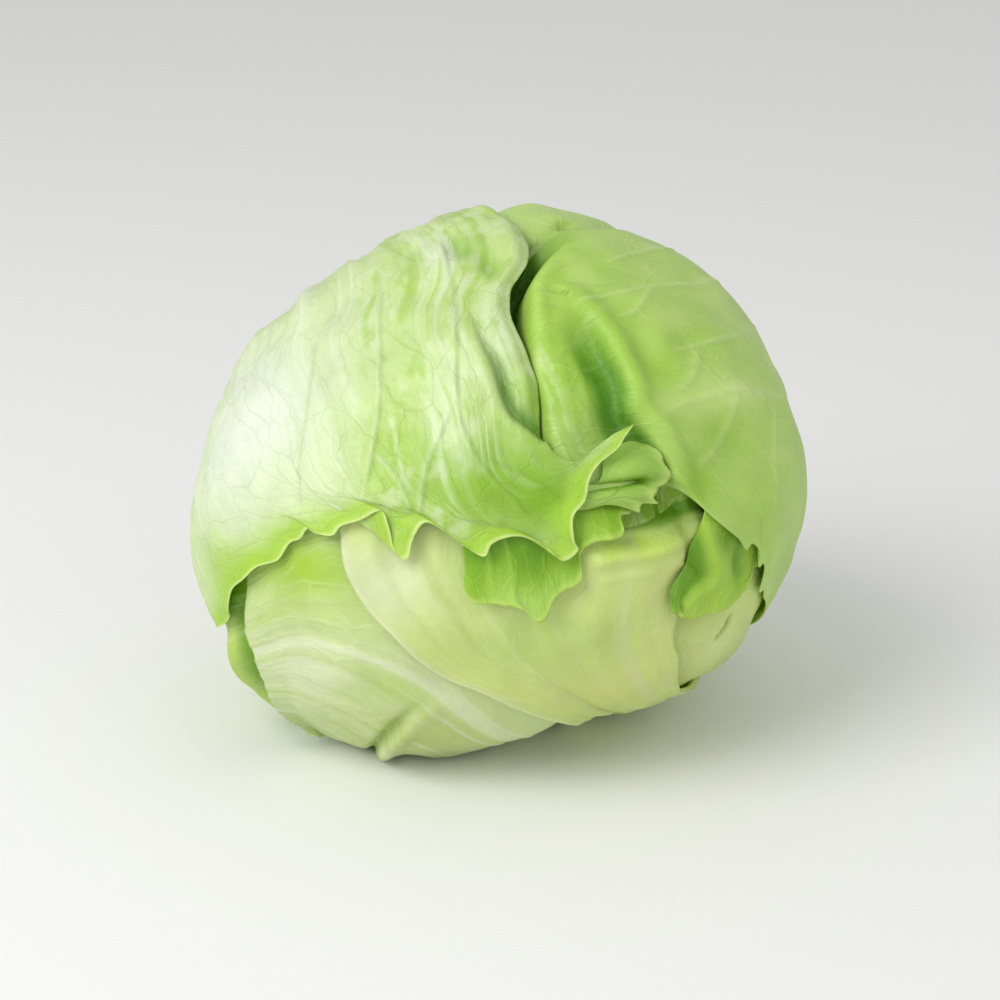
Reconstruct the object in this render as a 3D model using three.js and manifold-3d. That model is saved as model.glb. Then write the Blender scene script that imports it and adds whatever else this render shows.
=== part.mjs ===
// A head of crisp lettuce lying on its side: wrapper leaves laid over each other round a packed heart,
// each growing from the cut stem at the back and ending at the crown, which faces forwards.
// Millimetres, +Z up, the head rests on Z = 0 and its crown looks towards -Y.
import * as THREE from "three";
import { mergeVertices } from "three/addons/utils/BufferGeometryUtils.js";
import Module from "manifold-3d";

// Driving dimensions
const headWidth = 172; // across X, before the swellings
const headDepth = 154; // along Y
const headHeight = 150; // along Z, before the underside settles flat
const settle = 9; // how much of the underside is pressed flat by the head's own weight
const settleBend = 3.5; // how far above the flat the side starts to bend into it
const settleSpread = 1.2; // how much more air is left between the leaves there
const leafThickness = 1.0;
const leafGap = 1.5; // air between one leaf and the next one in
const crownHeading = 18; // degrees that the crown is turned from -Y towards +X
const crownRise = 20; // degrees that the crown looks up
const stemRadius = 14;
const stemStub = 1; // how far the cut face stands out of the head
const stemReach = 52; // length of the core, from its cut face to its tip inside the heart
const stemTipRadius = 7;
const stemClearance = 0.4; // between the core and the heart around it
const footGap = 4.6; // from the core's side to where the leaves start
const drapeWidth = 24; // degrees past a leaf's margin by which the one beneath is back at the outside
const outlineSteps = 12;
const facet = 8; // degrees of the head that one facet of a leaf spans
const heartClearance = 1; // more air round the heart
const heartColumns = 36;
const heartRows = 24;

const layerPitch = leafThickness + leafGap;
const footAngle = 180 - THREE.MathUtils.radToDeg(Math.asin((stemRadius + footGap) / (headDepth / 2)));
const centre = new THREE.Vector3(0, 0, headHeight / 2 - settle);

// The head's own directions: crown, right and up, as seen by someone facing the crown.
const rise = THREE.MathUtils.degToRad(crownRise);
const heading = THREE.MathUtils.degToRad(crownHeading);
const crown = new THREE.Vector3(
  Math.cos(rise) * Math.sin(heading),
  -Math.cos(rise) * Math.cos(heading),
  Math.sin(rise),
);
const right = new THREE.Vector3(Math.cos(heading), Math.sin(heading), 0);
const up = new THREE.Vector3().crossVectors(crown, right);

// Swellings and hollows of the whole head: where they are round the crown, how far from it,
// how wide they are (degrees) and how far they stand out (mm).
const swellings = [
  { around: 145, from: 75, width: 32, height: -6.5 },
  { around: 122, from: 100, width: 22, height: -4 },
  { around: 165, from: 105, width: 14, height: -3.5 },
  { around: 222, from: 95, width: 28, height: 5.5 },
  { around: 279, from: 82, width: 19, height: -10 },
  { around: 328, from: 75, width: 25, height: -3 },
  { around: 14, from: 73, width: 13, height: -4 },
  { around: 75, from: 80, width: 20, height: 1.5 },
];

// The crown map is a flat chart of the head, in degrees: its origin is the crown, p runs right and
// q runs up, and the distance from the origin is the angle from the crown. The stem is at 180.
function onMap(around, from) {
  const a = THREE.MathUtils.degToRad(around);
  return [from * Math.cos(a), from * Math.sin(a)];
}

function directionAt(p, q) {
  const from = THREE.MathUtils.degToRad(Math.hypot(p, q));
  const around = Math.atan2(q, p);
  return new THREE.Vector3()
    .addScaledVector(crown, Math.cos(from))
    .addScaledVector(right, Math.sin(from) * Math.cos(around))
    .addScaledVector(up, Math.sin(from) * Math.sin(around));
}

// The place on the map that a direction has.
function placeOf(direction) {
  const from = THREE.MathUtils.radToDeg(direction.angleTo(crown));
  const around = Math.atan2(direction.dot(up), direction.dot(right));
  return new THREE.Vector2(from * Math.cos(around), from * Math.sin(around));
}

const swellingDirections = swellings.map((s) => directionAt(...onMap(s.around, s.from)));

// The distance from the centre to the head's outside: an ellipsoid with the swellings added.
function outerRadius(direction) {
  const x = direction.x / (headWidth / 2);
  const y = direction.y / (headDepth / 2);
  const z = direction.z / (headHeight / 2);
  let radius = 1 / Math.hypot(x, y, z);
  swellings.forEach((s, i) => {
    const away = THREE.MathUtils.radToDeg(direction.angleTo(swellingDirections[i]));
    radius += s.height * Math.exp(-((away / s.width) ** 2));
  });
  return radius;
}

// A point at a depth under the outside. Below, the leaves settle flat, one depth above another.
function pointAt(direction, depth) {
  const point = centre.clone().addScaledVector(direction, outerRadius(direction) - depth);
  const flat = depth * settleSpread;
  const bend = Math.max(settleBend - Math.abs(point.z - flat), 0) / settleBend;
  point.z = Math.max(point.z, flat) + (settleBend * bend ** 3) / 6;
  return point;
}

// Turns a grid of points and its inner copy into one closed body: two skins and a rim.
function closedSheet(outer, inner, columns, rows) {
  const across = columns + 1;
  const count = across * (rows + 1);
  const positions = new Float32Array([...outer, ...inner].flatMap((v) => [v.x, v.y, v.z]));
  const index = [];
  const quad = (a, b, c, d) => index.push(a, b, c, a, c, d);
  for (let j = 0; j < rows; j++) {
    for (let i = 0; i < columns; i++) {
      const a = j * across + i;
      quad(a, a + 1, a + 1 + across, a + across);
      quad(count + a, count + a + across, count + a + 1 + across, count + a + 1);
    }
  }
  const rim = [];
  for (let i = 0; i < columns; i++) rim.push(i);
  for (let j = 0; j < rows; j++) rim.push(j * across + columns);
  for (let i = columns; i > 0; i--) rim.push(rows * across + i);
  for (let j = rows; j > 0; j--) rim.push(j * across);
  rim.forEach((a, k) => {
    const b = rim[(k + 1) % rim.length];
    quad(b, a, count + a, count + b);
  });
  const geometry = new THREE.BufferGeometry();
  geometry.setAttribute("position", new THREE.BufferAttribute(positions, 3));
  geometry.setIndex(index);
  geometry.computeVertexNormals();
  return geometry;
}

// Each leaf's outline on the crown map. foot is the stretch of the stem it grows from, in degrees round
// it and counter-clockwise as seen facing the crown; first and last are the sides that rise from its two
// ends, and tip is the margin between them. The leaves are listed from the outermost to the innermost.
const leaves = {
  left_wrapper_leaf: {
    colour: "#c9e29a", foot: [66, 162],
    first: [[11, 115], [3, 62], [-3, 47], [-8, 37], [-7, 24], [-8, 9], [-2, 4]],
    tip: [[8, 7], [0, -2], [-5, -12], [-12, -11], [-21, -12], [-31, -7], [-37, -9], [-48, -5],
      [-61, -8], [-76, -19], [-92, -33]],
    last: [[-144, 38], [-132, 10], [-118, -14]],
  },
  crown_curl_leaf: {
    colour: "#a3cf5c", foot: [114, 154],
    first: [[-84, 96], [-56, 54], [-22, 18], [0, 2]],
    tip: [[10, 6], [16, 0], [13, -6], [9, -8]],
    last: [[-112, 46], [-70, 18], [-24, 0], [-4, -6]],
  },
  right_wrapper_leaf: {
    colour: "#b4d67c", foot: [-26, 44],
    first: [[128, -72], [88, -66], [62, -46], [41, -24], [28, -13], [16, -4], [4, -4]],
    tip: [[-5, -3], [-11, 6], [-12, 26], [-7, 44], [1, 55]],
    last: [[92, 84], [64, 68], [33, 62], [15, 59]],
  },
  crown_tongue_leaf: {
    colour: "#8cbf34", foot: [100, 140],
    first: [[0, 80], [6, 20]],
    tip: [[10, -6], [0, -13], [-4, -20], [-11, -26], [-21, -22], [-25, -11]],
    last: [[-60, 90], [-46, 40], [-32, 6]],
  },
  right_under_leaf: {
    colour: "#a2cb52", foot: [-14, 40],
    first: [[110, -42], [72, -42], [48, -30]],
    tip: [[38, -27], [30, -30], [22, -30], [15, -26], [18, -21], [23, -14]],
    last: [[80, 60], [48, 24], [30, 2]],
  },
  lower_pale_leaf: {
    colour: "#d3dfa0", foot: [274, 326],
    first: [[22, -120], [10, -78], [-2, -56], [-22, -44], [-41, -28], [-49, -11]],
    tip: [[-50, -3], [-30, 2], [-4, -8], [12, -5], [27, -8]],
    last: [[100, -76], [60, -66], [30, -54], [20, -38]],
  },
  lower_right_leaf: {
    colour: "#c6d493", foot: [296, 346],
    first: [[60, -108], [36, -86]],
    tip: [[16, -60], [12, -44], [14, -28], [24, -14]],
    last: [[112, -18], [70, -8], [44, -2]],
  },
  lower_left_leaf: {
    colour: "#d9ebb0", foot: [250, 304],
    first: [[-60, -116], [-58, -90]],
    tip: [[-63, -71], [-72, -60], [-72, -42], [-75, -27], [-74, -10]],
    last: [[104, -92], [52, -66], [16, -30], [-20, -2], [-52, 4]],
  },
  left_under_leaf: {
    colour: "#cfe39a", foot: [164, 248],
    first: [[-138, 34], [-112, 30]],
    tip: [[-62, 4], [-60, -20], [-60, -40], [-56, -66]],
    last: [[-72, -118], [-60, -92]],
  },
  top_back_leaf: {
    colour: "#bfdd8e", foot: [40, 116],
    first: [[96, 84], [70, 60]],
    tip: [[48, 38], [20, 26], [0, 26], [-22, 36]],
    last: [[-54, 118], [-52, 84], [-42, 58]],
  },
  inner_upper_leaf: {
    colour: "#dfe9b4", foot: [30, 150],
    first: [[122, 36], [84, 24], [52, 12]],
    tip: [[36, 0], [14, -10], [-8, -12], [-30, -6]],
    last: [[-120, 40], [-80, 24], [-48, 8]],
  },
  inner_lower_leaf: {
    colour: "#dfe9b4", foot: [215, 325],
    first: [[-118, -48], [-86, -32], [-56, -24]],
    tip: [[-34, -18], [-8, -22], [14, -20], [38, -14]],
    last: [[118, -44], [84, -34], [56, -24]],
  },
};

function edgeCurve(points) {
  return new THREE.SplineCurve(points.map(([p, q]) => new THREE.Vector2(p, q)));
}

// The four edges of a leaf as curves on the crown map.
function edgesOf({ foot, first, tip, last }) {
  const start = onMap(foot[0], footAngle);
  const middle = onMap((foot[0] + foot[1]) / 2, footAngle);
  const end = onMap(foot[1], footAngle);
  return {
    foot: edgeCurve([start, middle, end]),
    first: edgeCurve([start, ...first, tip[0]]),
    last: edgeCurve([end, ...last, tip[tip.length - 1]]),
    tip: edgeCurve(tip),
  };
}

// A place on a leaf, u from its first side to its last and v from its foot to its tip: the four edges
// blended, less their corners (a Coons patch).
function placeOn(edges, u, v) {
  const { foot, first, last, tip } = edges;
  const place = foot.getPointAt(u).multiplyScalar(1 - v);
  place.addScaledVector(tip.getPointAt(u), v);
  place.addScaledVector(first.getPointAt(v), 1 - u);
  place.addScaledVector(last.getPointAt(v), u);
  place.addScaledVector(foot.getPointAt(0), -(1 - u) * (1 - v));
  place.addScaledVector(foot.getPointAt(1), -u * (1 - v));
  place.addScaledVector(tip.getPointAt(0), -(1 - u) * v);
  place.addScaledVector(tip.getPointAt(1), -u * v);
  return place;
}

// A leaf's whole outline: its points on the crown map, and the lines between them on a ball of radius 1.
function outlineOf(edges) {
  const loop = [];
  for (let i = 0; i < outlineSteps; i++) {
    const t = i / outlineSteps;
    loop.push(edges.foot.getPointAt(t));
  }
  for (let i = 0; i < outlineSteps; i++) loop.push(edges.last.getPointAt(i / outlineSteps));
  for (let i = 0; i < outlineSteps; i++) loop.push(edges.tip.getPointAt(1 - i / outlineSteps));
  for (let i = 0; i < outlineSteps; i++) loop.push(edges.first.getPointAt(1 - i / outlineSteps));
  const directions = loop.map((place) => directionAt(place.x, place.y));
  const rim = directions.map((d, i) => new THREE.Line3(d, directions[(i + 1) % directions.length]));
  return { loop, rim };
}

const nearby = new THREE.Vector3();

// How far a direction is outside a leaf's outline, in degrees; 0 inside it.
function awayFrom({ loop, rim }, place, direction) {
  let inside = false;
  let nearest = Infinity;
  loop.forEach((a, i) => {
    const b = loop[(i + 1) % loop.length];
    const crosses = a.y > place.y !== b.y > place.y;
    if (crosses && place.x < a.x + ((b.x - a.x) * (place.y - a.y)) / (b.y - a.y)) inside = !inside;
    rim[i].closestPointToPoint(direction, true, nearby);
    nearest = Math.min(nearest, nearby.distanceTo(direction));
  });
  return inside ? 0 : THREE.MathUtils.radToDeg(nearest);
}

const leafNames = Object.keys(leaves);
const edgesByLeaf = leafNames.map((name) => edgesOf(leaves[name]));
const outlines = edgesByLeaf.map(outlineOf);

// How deep the leaf with this number lies at a place: one pitch for each leaf over it, and less where that
// leaf has ended, over the drape's width.
function depthUnder(number, place, direction) {
  let depth = 0;
  for (let i = 0; i < number; i++) {
    const away = awayFrom(outlines[i], place, direction);
    depth += layerPitch * (1 - THREE.MathUtils.smoothstep(away, 0, drapeWidth));
  }
  return depth;
}

// How many facets span a leaf along a line across it, given the line as a function of 0 to 1.
function facetsAlong(placeAt) {
  let length = 0;
  for (let i = 0; i < outlineSteps; i++) {
    const a = placeAt(i / outlineSteps);
    const b = placeAt((i + 1) / outlineSteps);
    length += THREE.MathUtils.radToDeg(directionAt(a.x, a.y).angleTo(directionAt(b.x, b.y)));
  }
  return Math.max(6, Math.round(length / facet));
}

function leafGeometry(number) {
  const edges = edgesByLeaf[number];
  const columns = facetsAlong((t) => placeOn(edges, t, 0.5));
  const rows = Math.max(...[0.1, 0.5, 0.9].map((u) => facetsAlong((t) => placeOn(edges, u, t))));
  const outer = [];
  const inner = [];
  for (let j = 0; j <= rows; j++) {
    for (let i = 0; i <= columns; i++) {
      const place = placeOn(edges, i / columns, j / rows);
      const direction = directionAt(place.x, place.y);
      const depth = depthUnder(number, place, direction);
      outer.push(pointAt(direction, depth));
      inner.push(pointAt(direction, depth + leafThickness));
    }
  }
  return closedSheet(outer, inner, columns, rows);
}

// The core lies on the head's axis: it is turned as a profile and its cut face looks away from the crown.
const stemFace = outerRadius(crown.clone().negate()) + stemStub;
function stemGeometry(grow) {
  const chamfer = 1.5;
  const profile = [
    [0, -grow],
    [stemRadius - chamfer + grow, -grow],
    [stemRadius + grow, chamfer],
    [stemRadius + grow, stemReach * 0.45],
    [stemTipRadius + grow, stemReach - stemTipRadius * 0.6],
    [stemTipRadius * 0.5 + grow, stemReach + grow],
    [0, stemReach + grow],
  ].map(([r, y]) => new THREE.Vector2(r, y));
  const geometry = new THREE.LatheGeometry(profile, 28);
  geometry.applyQuaternion(new THREE.Quaternion().setFromUnitVectors(new THREE.Vector3(0, 1, 0), crown));
  const start = centre.clone().addScaledVector(crown, -stemFace);
  return geometry.translate(start.x, start.y, start.z);
}

// The heart is the whole of the packed young leaves under the wrappers, as one body.
function heartGeometry() {
  const geometry = new THREE.SphereGeometry(1, heartColumns, heartRows);
  const position = geometry.getAttribute("position");
  const direction = new THREE.Vector3();
  for (let i = 0; i < position.count; i++) {
    direction.fromBufferAttribute(position, i).normalize();
    const depth = depthUnder(leafNames.length, placeOf(direction), direction) + heartClearance;
    const point = pointAt(direction, depth);
    position.setXYZ(i, point.x, point.y, point.z);
  }
  return geometry;
}

const wasm = await Module();
wasm.setup();

function solidOf(geometry) {
  const bare = geometry.clone();
  bare.deleteAttribute("normal");
  bare.deleteAttribute("uv");
  const merged = mergeVertices(bare, 1e-4);
  return new wasm.Manifold(new wasm.Mesh({
    numProp: 3,
    vertProperties: merged.getAttribute("position").array,
    triVerts: new Uint32Array(merged.getIndex().array),
  }));
}

function geometryOf(solid) {
  const mesh = solid.getMesh();
  const geometry = new THREE.BufferGeometry();
  geometry.setAttribute("position", new THREE.BufferAttribute(mesh.vertProperties, 3));
  geometry.setIndex(new THREE.BufferAttribute(mesh.triVerts, 1));
  geometry.computeVertexNormals();
  return geometry;
}

const lettuce = new THREE.Group();

function addPiece(name, geometry, colour, roughness) {
  const material = new THREE.MeshStandardMaterial({ color: colour, roughness, metalness: 0 });
  const piece = new THREE.Mesh(geometry, material);
  piece.name = name;
  lettuce.add(piece);
}

leafNames.forEach((name, i) => addPiece(name, leafGeometry(i), leaves[name].colour, 0.4));
const coreHole = solidOf(stemGeometry(stemClearance));
addPiece("heart", geometryOf(solidOf(heartGeometry()).subtract(coreHole)), "#e2eab8", 0.5);
addPiece("stem_core", stemGeometry(0), "#e6dcc0", 0.7);

// The head stands on Z = 0 with the middle of its box over the origin.
const box = new THREE.Box3().setFromObject(lettuce);
const middle = box.getCenter(new THREE.Vector3());
lettuce.position.set(-middle.x, -middle.y, -box.min.z);

export default lettuce;
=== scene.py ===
# A head of crisp lettuce lying on its side, crown towards the viewer, worked out leaf by leaf.
import math

import bpy
import numpy as np
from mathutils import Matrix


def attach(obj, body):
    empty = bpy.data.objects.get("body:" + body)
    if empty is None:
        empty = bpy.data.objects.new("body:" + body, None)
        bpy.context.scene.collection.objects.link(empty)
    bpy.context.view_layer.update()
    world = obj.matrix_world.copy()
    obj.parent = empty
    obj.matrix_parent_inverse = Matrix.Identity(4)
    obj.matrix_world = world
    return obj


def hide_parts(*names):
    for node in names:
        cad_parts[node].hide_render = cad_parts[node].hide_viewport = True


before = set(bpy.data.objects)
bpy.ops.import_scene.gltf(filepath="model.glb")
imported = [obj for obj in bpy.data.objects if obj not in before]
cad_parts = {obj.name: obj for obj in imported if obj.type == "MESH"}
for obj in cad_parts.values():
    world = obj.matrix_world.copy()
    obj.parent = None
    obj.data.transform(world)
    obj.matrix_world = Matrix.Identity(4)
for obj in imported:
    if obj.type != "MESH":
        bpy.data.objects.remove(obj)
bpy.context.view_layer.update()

# ---- the head all leaves lie on; lengths in millimetres, angles in degrees ----
head = dict(
    width=172.0, depth=154.0, height=150.0,
    settle=9.0, settleBend=3.5,       # the underside pressed flat by the head's weight
    shiftX=-0.13, shiftY=0.16,        # brings the middle of the footprint over the origin
    crownHeading=18.0, crownRise=20.0,
    footAngle=166.0,                  # where leaves leave the stem, counted from the crown
    drape=9.0,                        # how soon a leaf comes back up past the margin over it
)
# Swellings of the whole head: degrees round the crown, degrees from it, width, height in mm.
swellings = [
    (145, 75, 32, -6.5), (122, 100, 22, -4.0), (165, 105, 14, -3.5), (222, 95, 28, 5.5),
    (279, 82, 19, -10.0), (328, 75, 25, -3.0), (14, 73, 13, -4.0), (75, 80, 20, 1.5),
]
mmPerDegree = 1.34        # along the head's surface, on average
rise, turn = math.radians(head["crownRise"]), math.radians(head["crownHeading"])
crownAxis = np.array([
    math.cos(rise) * math.sin(turn), -math.cos(rise) * math.cos(turn), math.sin(rise)])
rightAxis = np.array([math.cos(turn), math.sin(turn), 0.0])
upAxis = np.cross(crownAxis, rightAxis)
centre = np.array([head["shiftX"], head["shiftY"], head["height"] / 2 - head["settle"]])
semiAxes = np.array([head["width"], head["depth"], head["height"]]) / 2


def smooth(x, low=0.0, high=1.0):
    # 3t^2 - 2t^3 between low and high, 0 before and 1 after
    t = np.clip((x - low) / (high - low), 0.0, 1.0)
    return t * t * (3.0 - 2.0 * t)


def hump(x, width):
    # e^-(x/width)^2
    return np.exp(-((x / width) ** 2))


def onMap(around, fromCrown):
    # the crown map: a point this many degrees round the crown and from it, as r cos a and r sin a
    a = math.radians(around)
    return np.array([fromCrown * math.cos(a), fromCrown * math.sin(a)])


def directions(p, q):
    # crown cos r + (right cos a + up sin a) sin r, where r is the distance from the map's middle
    r = np.radians(np.hypot(p, q))
    a = np.arctan2(q, p)
    side = rightAxis * np.cos(a)[..., None] + upAxis * np.sin(a)[..., None]
    return crownAxis * np.cos(r)[..., None] + side * np.sin(r)[..., None]


def blob(p, q, atP, atQ, width, widthQ=None):
    # a hump on the map, round or oval: e^-(dp^2/width^2 + dq^2/widthQ^2)
    return np.exp(-((p - atP) / width) ** 2 - ((q - atQ) / (widthQ or width)) ** 2)


def headRadius(d):
    # the ellipsoid 1 / |d / semi-axes| with the swellings' humps added
    radius = 1.0 / np.linalg.norm(d / semiAxes, axis=-1)
    for around, fromCrown, width, height in swellings:
        at = onMap(around, fromCrown)
        cosine = np.clip(d @ directions(at[0:1], at[1:2])[0], -1.0, 1.0)
        radius = radius + height * hump(np.degrees(np.arccos(cosine)), width)
    return radius


def pointsAt(d, depth):
    # centre + d (radius - depth), kept above z = depth underneath with a soft bend
    points = centre + d * (headRadius(d) - depth)[..., None]
    floorDepth = np.maximum(depth, 0.0)
    reach = head["settleBend"]
    bend = np.maximum(reach - np.abs(points[..., 2] - floorDepth), 0.0) / reach
    points[..., 2] = np.maximum(points[..., 2], floorDepth) + reach * bend ** 3 / 6
    return points


latticeSize = 64


def noise(x, y, seed):
    # smooth value noise, -1 to 1: random heights on whole numbers, blended by 3t^2 - 2t^3
    lattice = np.random.RandomState(seed).uniform(-1.0, 1.0, (latticeSize, latticeSize))
    xi, yi = np.floor(x).astype(int), np.floor(y).astype(int)
    fx, fy = smooth(x - xi), smooth(y - yi)
    pick = lambda i, j: lattice[(xi + i) % latticeSize, (yi + j) % latticeSize]
    low = pick(0, 0) * (1 - fx) + pick(1, 0) * fx
    high = pick(0, 1) * (1 - fx) + pick(1, 1) * fx
    return low * (1 - fy) + high * fy


def splineThrough(points, t):
    # Catmull-Rom curve through the points, at even steps of its own length
    pts = np.array(points, float)
    ends = np.vstack([2 * pts[0] - pts[1], pts, 2 * pts[-1] - pts[-2]])
    s = np.linspace(0.0, len(pts) - 1.0, 24 * len(pts))
    i = np.minimum(s.astype(int), len(pts) - 2)
    f = (s - i)[:, None]
    a, b, c, e = ends[i], ends[i + 1], ends[i + 2], ends[i + 3]
    bent = (2 * a - 5 * b + 4 * c - e) * f ** 2
    curve = 0.5 * (2 * b + (c - a) * f + bent + (3 * b - a - 3 * c + e) * f ** 3)
    length = np.concatenate([[0.0], np.cumsum(np.hypot(*np.diff(curve, axis=0).T))])
    t = np.asarray(t) * length[-1]
    return np.stack([np.interp(t, length, curve[:, k]) for k in (0, 1)], axis=-1)


def alongLine(points, p, q):
    # signed distance from a line on the map, positive on its left, and the share of its length passed
    pts = splineThrough(points, np.linspace(0.0, 1.0, 10 * len(points)))
    best = np.full(p.shape, 1e9)
    signed = np.zeros(p.shape)
    passed = np.zeros(p.shape)
    for k in range(len(pts) - 1):
        a, b = pts[k], pts[k + 1]
        ab = b - a
        t = np.clip(((p - a[0]) * ab[0] + (q - a[1]) * ab[1]) / (ab @ ab), 0.0, 1.0)
        dx, dy = p - a[0] - t * ab[0], q - a[1] - t * ab[1]
        dist = np.hypot(dx, dy)
        near = dist < best
        best = np.where(near, dist, best)
        signed = np.where(near, np.where(ab[0] * dy - ab[1] * dx >= 0, dist, -dist), signed)
        passed = np.where(near, (k + t) / (len(pts) - 1), passed)
    return signed, passed


# ---- the leaves, outermost first ----
# foot: degrees round the stem, counter-clockwise; first and last: the sides that rise from its two ends;
# tip: the margin between them; lies: how far it pushes down what is under it (mm); thick: mm;
# ribs: place across, height in mm, width, reach along the leaf, bend; roll: the margin's turn (radians).
leaves = {}


def curves(leaf):
    # the foot is an arc round the stem; the two sides join its ends to the tip's ends
    arc = [onMap(a, head["footAngle"]) for a in np.linspace(*leaf["foot"], 5)]
    foot = splineThrough(arc, np.linspace(0, 1, 41))
    first = [foot[0], *leaf["first"], leaf["tip"][0]]
    last = [foot[-1], *leaf["last"], leaf["tip"][-1]]
    return foot, first, last, leaf["tip"]


def coonsGrid(leaf, u, v):
    # the four edges blended, less their corners; the tip's raggedness only reaches the last part
    foot, first, last, tip = curves(leaf)
    onFoot, onTip = splineThrough(foot, u[0]), splineThrough(tip, u[0])
    even = leaf.get("tipSmoothing", 0.05)
    spread = hump(u[0][:, None] - u[0][None, :], even)
    plainTip = (spread @ onTip) / spread.sum(1, keepdims=True)
    keepEnds = smooth(u[0], 0.0, 2 * even) * smooth(1 - u[0], 0.0, 2 * even)
    plainTip = onTip + (plainTip - onTip) * keepEnds[:, None]
    eased = v[:, 0] + leaf.get("ease", 0.0) * v[:, 0] * (1 - v[:, 0])    # the sides slow to the tip
    onFirst, onLast = splineThrough(first, eased), splineThrough(last, eased)
    uu, vv = u[..., None], v[..., None]
    place = (1 - uu) * onFirst[:, None] + uu * onLast[:, None]
    place = place + (1 - vv) * onFoot[None] + vv * plainTip[None]
    place = place - (1 - uu) * (1 - vv) * onFoot[0] - uu * (1 - vv) * onFoot[-1]
    place = place - (1 - uu) * vv * onTip[0] - uu * vv * onTip[-1]
    return place + smooth(vv, 1 - leaf.get("ragged", 0.12), 1.0) * (onTip - plainTip)[None]


mapStep, mapReach = 1.25, 175.0
mapAxis = np.arange(-mapReach, mapReach + 0.1, mapStep)
mapP, mapQ = np.meshgrid(mapAxis, mapAxis, indexing="ij")


def coverOf(leaf):
    # degrees outside the leaf's outline for every place of the map, 0 inside it
    foot, first, last, tip = curves(leaf)
    t = np.linspace(0.0, 1.0, 31)[:-1]
    loop = np.vstack([splineThrough(foot, t), splineThrough(last, t),
                      splineThrough(tip, 1 - t), splineThrough(first, 1 - t)])
    d, around = directions(mapP, mapQ), directions(loop[:, 0], loop[:, 1])
    nearest = np.full(mapP.shape, 9.0)
    inside = np.zeros(mapP.shape, bool)
    for k in range(len(loop)):
        (ax, ay), (bx, by) = loop[k], loop[(k + 1) % len(loop)]
        a, b = around[k], around[(k + 1) % len(loop)]
        t = np.clip((d - a) @ (b - a) / max((b - a) @ (b - a), 1e-12), 0.0, 1.0)
        nearest = np.minimum(nearest, np.linalg.norm(d - a - t[..., None] * (b - a), axis=-1))
        if ay != by:
            inside ^= ((ay > mapQ) != (by > mapQ)) & (mapP < ax + (bx - ax) * (mapQ - ay) / (by - ay))
    return np.where(inside, 0.0, np.degrees(nearest))


def lookUp(table, p, q):
    # the table's value between its places, bilinear
    x = np.clip((p + mapReach) / mapStep, 0.0, len(mapAxis) - 1.001)
    y = np.clip((q + mapReach) / mapStep, 0.0, len(mapAxis) - 1.001)
    i, j = x.astype(int), y.astype(int)
    f, g = x - i, y - j
    low = table[i, j] * (1 - f) + table[i + 1, j] * f
    high = table[i, j + 1] * (1 - f) + table[i + 1, j + 1] * f
    return low * (1 - g) + high * g


def depthUnder(order, p, q):
    # the sum of what each leaf over this one pushes it down, plus the pleats carried down from them
    depth = np.zeros(p.shape)
    for name in leafOrder[:order]:
        away = smooth(lookUp(covers[name], p, q), 0.0, head["drape"])
        depth = depth + leaves[name]["lies"] * (1 - away)
    for name in leafOrder[:order + 1]:
        if "pleat" in leaves[name]:
            depth = depth + leaves[name]["pleat"](p, q)
    return depth


def meshFrom(name, points, faceSets, tint, uv=None):
    # points in mm and arrays of faces, each array with its own number of corners, as one linked object
    corners = np.concatenate([faces.ravel() for faces in faceSets])
    sizes = np.concatenate([np.full(len(faces), faces.shape[1]) for faces in faceSets])
    mesh = bpy.data.meshes.new(name)
    mesh.vertices.add(len(points))
    mesh.vertices.foreach_set("co", (points / 1000.0).astype(np.float32).ravel())
    mesh.loops.add(len(corners))
    mesh.loops.foreach_set("vertex_index", corners.astype(np.int32))
    mesh.polygons.add(len(sizes))
    mesh.polygons.foreach_set("loop_start", (np.cumsum(sizes) - sizes).astype(np.int32))
    mesh.update(calc_edges=True)
    mesh.polygons.foreach_set("use_smooth", np.ones(len(sizes), bool))
    if uv is not None:
        layer = mesh.uv_layers.new(name="leafUv")
        layer.data.foreach_set("uv", uv[corners].astype(np.float32).ravel())
    colours = np.concatenate([np.clip(tint, 0.0, 1.0), np.ones((len(tint), 1))], axis=1)
    attribute = mesh.color_attributes.new("tint", "FLOAT_COLOR", "POINT")
    attribute.data.foreach_set("color", colours.astype(np.float32).ravel())
    piece = bpy.data.objects.new(name, mesh)
    bpy.context.scene.collection.objects.link(piece)
    return piece


def sheetFaces(columns, rows):
    # quads of the outer skin, of the inner skin turned round, and of the rim between them
    across, count = columns + 1, (columns + 1) * (rows + 1)
    a = (np.arange(rows)[:, None] * across + np.arange(columns)[None]).ravel()
    outer = np.stack([a, a + 1, a + 1 + across, a + across], 1)
    inner = np.stack([a, a + across, a + 1 + across, a + 1], 1) + count
    rim = np.concatenate([np.arange(columns), np.arange(rows) * across + columns,
                          rows * across + np.arange(columns, 0, -1), np.arange(rows, 0, -1) * across])
    after = np.roll(rim, -1)
    return np.concatenate([outer, inner, np.stack([after, rim, rim + count, after + count], 1)])


def ribs(leaf, u, v):
    # the midrib and side ribs: size e^-((u - line)/width)^2 across the leaf, fading towards the tip
    height = np.zeros(u.shape)
    for at, size, width, reach, bend in leaf["ribs"]:
        line = at + bend * (v ** 2 - v)
        height += size * hump(u - line, width * (1.25 - 0.85 * v)) * (1 - smooth(v, reach - 0.35, reach))
    return height


skinShape = dict(
    rowCrowd=0.45,                       # rows crowd towards the tip, where the margin is ragged
    looseLimit=1.2,                      # wander, streaks and ruffle together, mm
    edgeThick=0.35, edgeBand=5.0,        # mm: the rim's thickness, and how far in it grows to the leaf's own
    coveredShare=0.15,                   # how much of its own relief a leaf keeps under another
)


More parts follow.
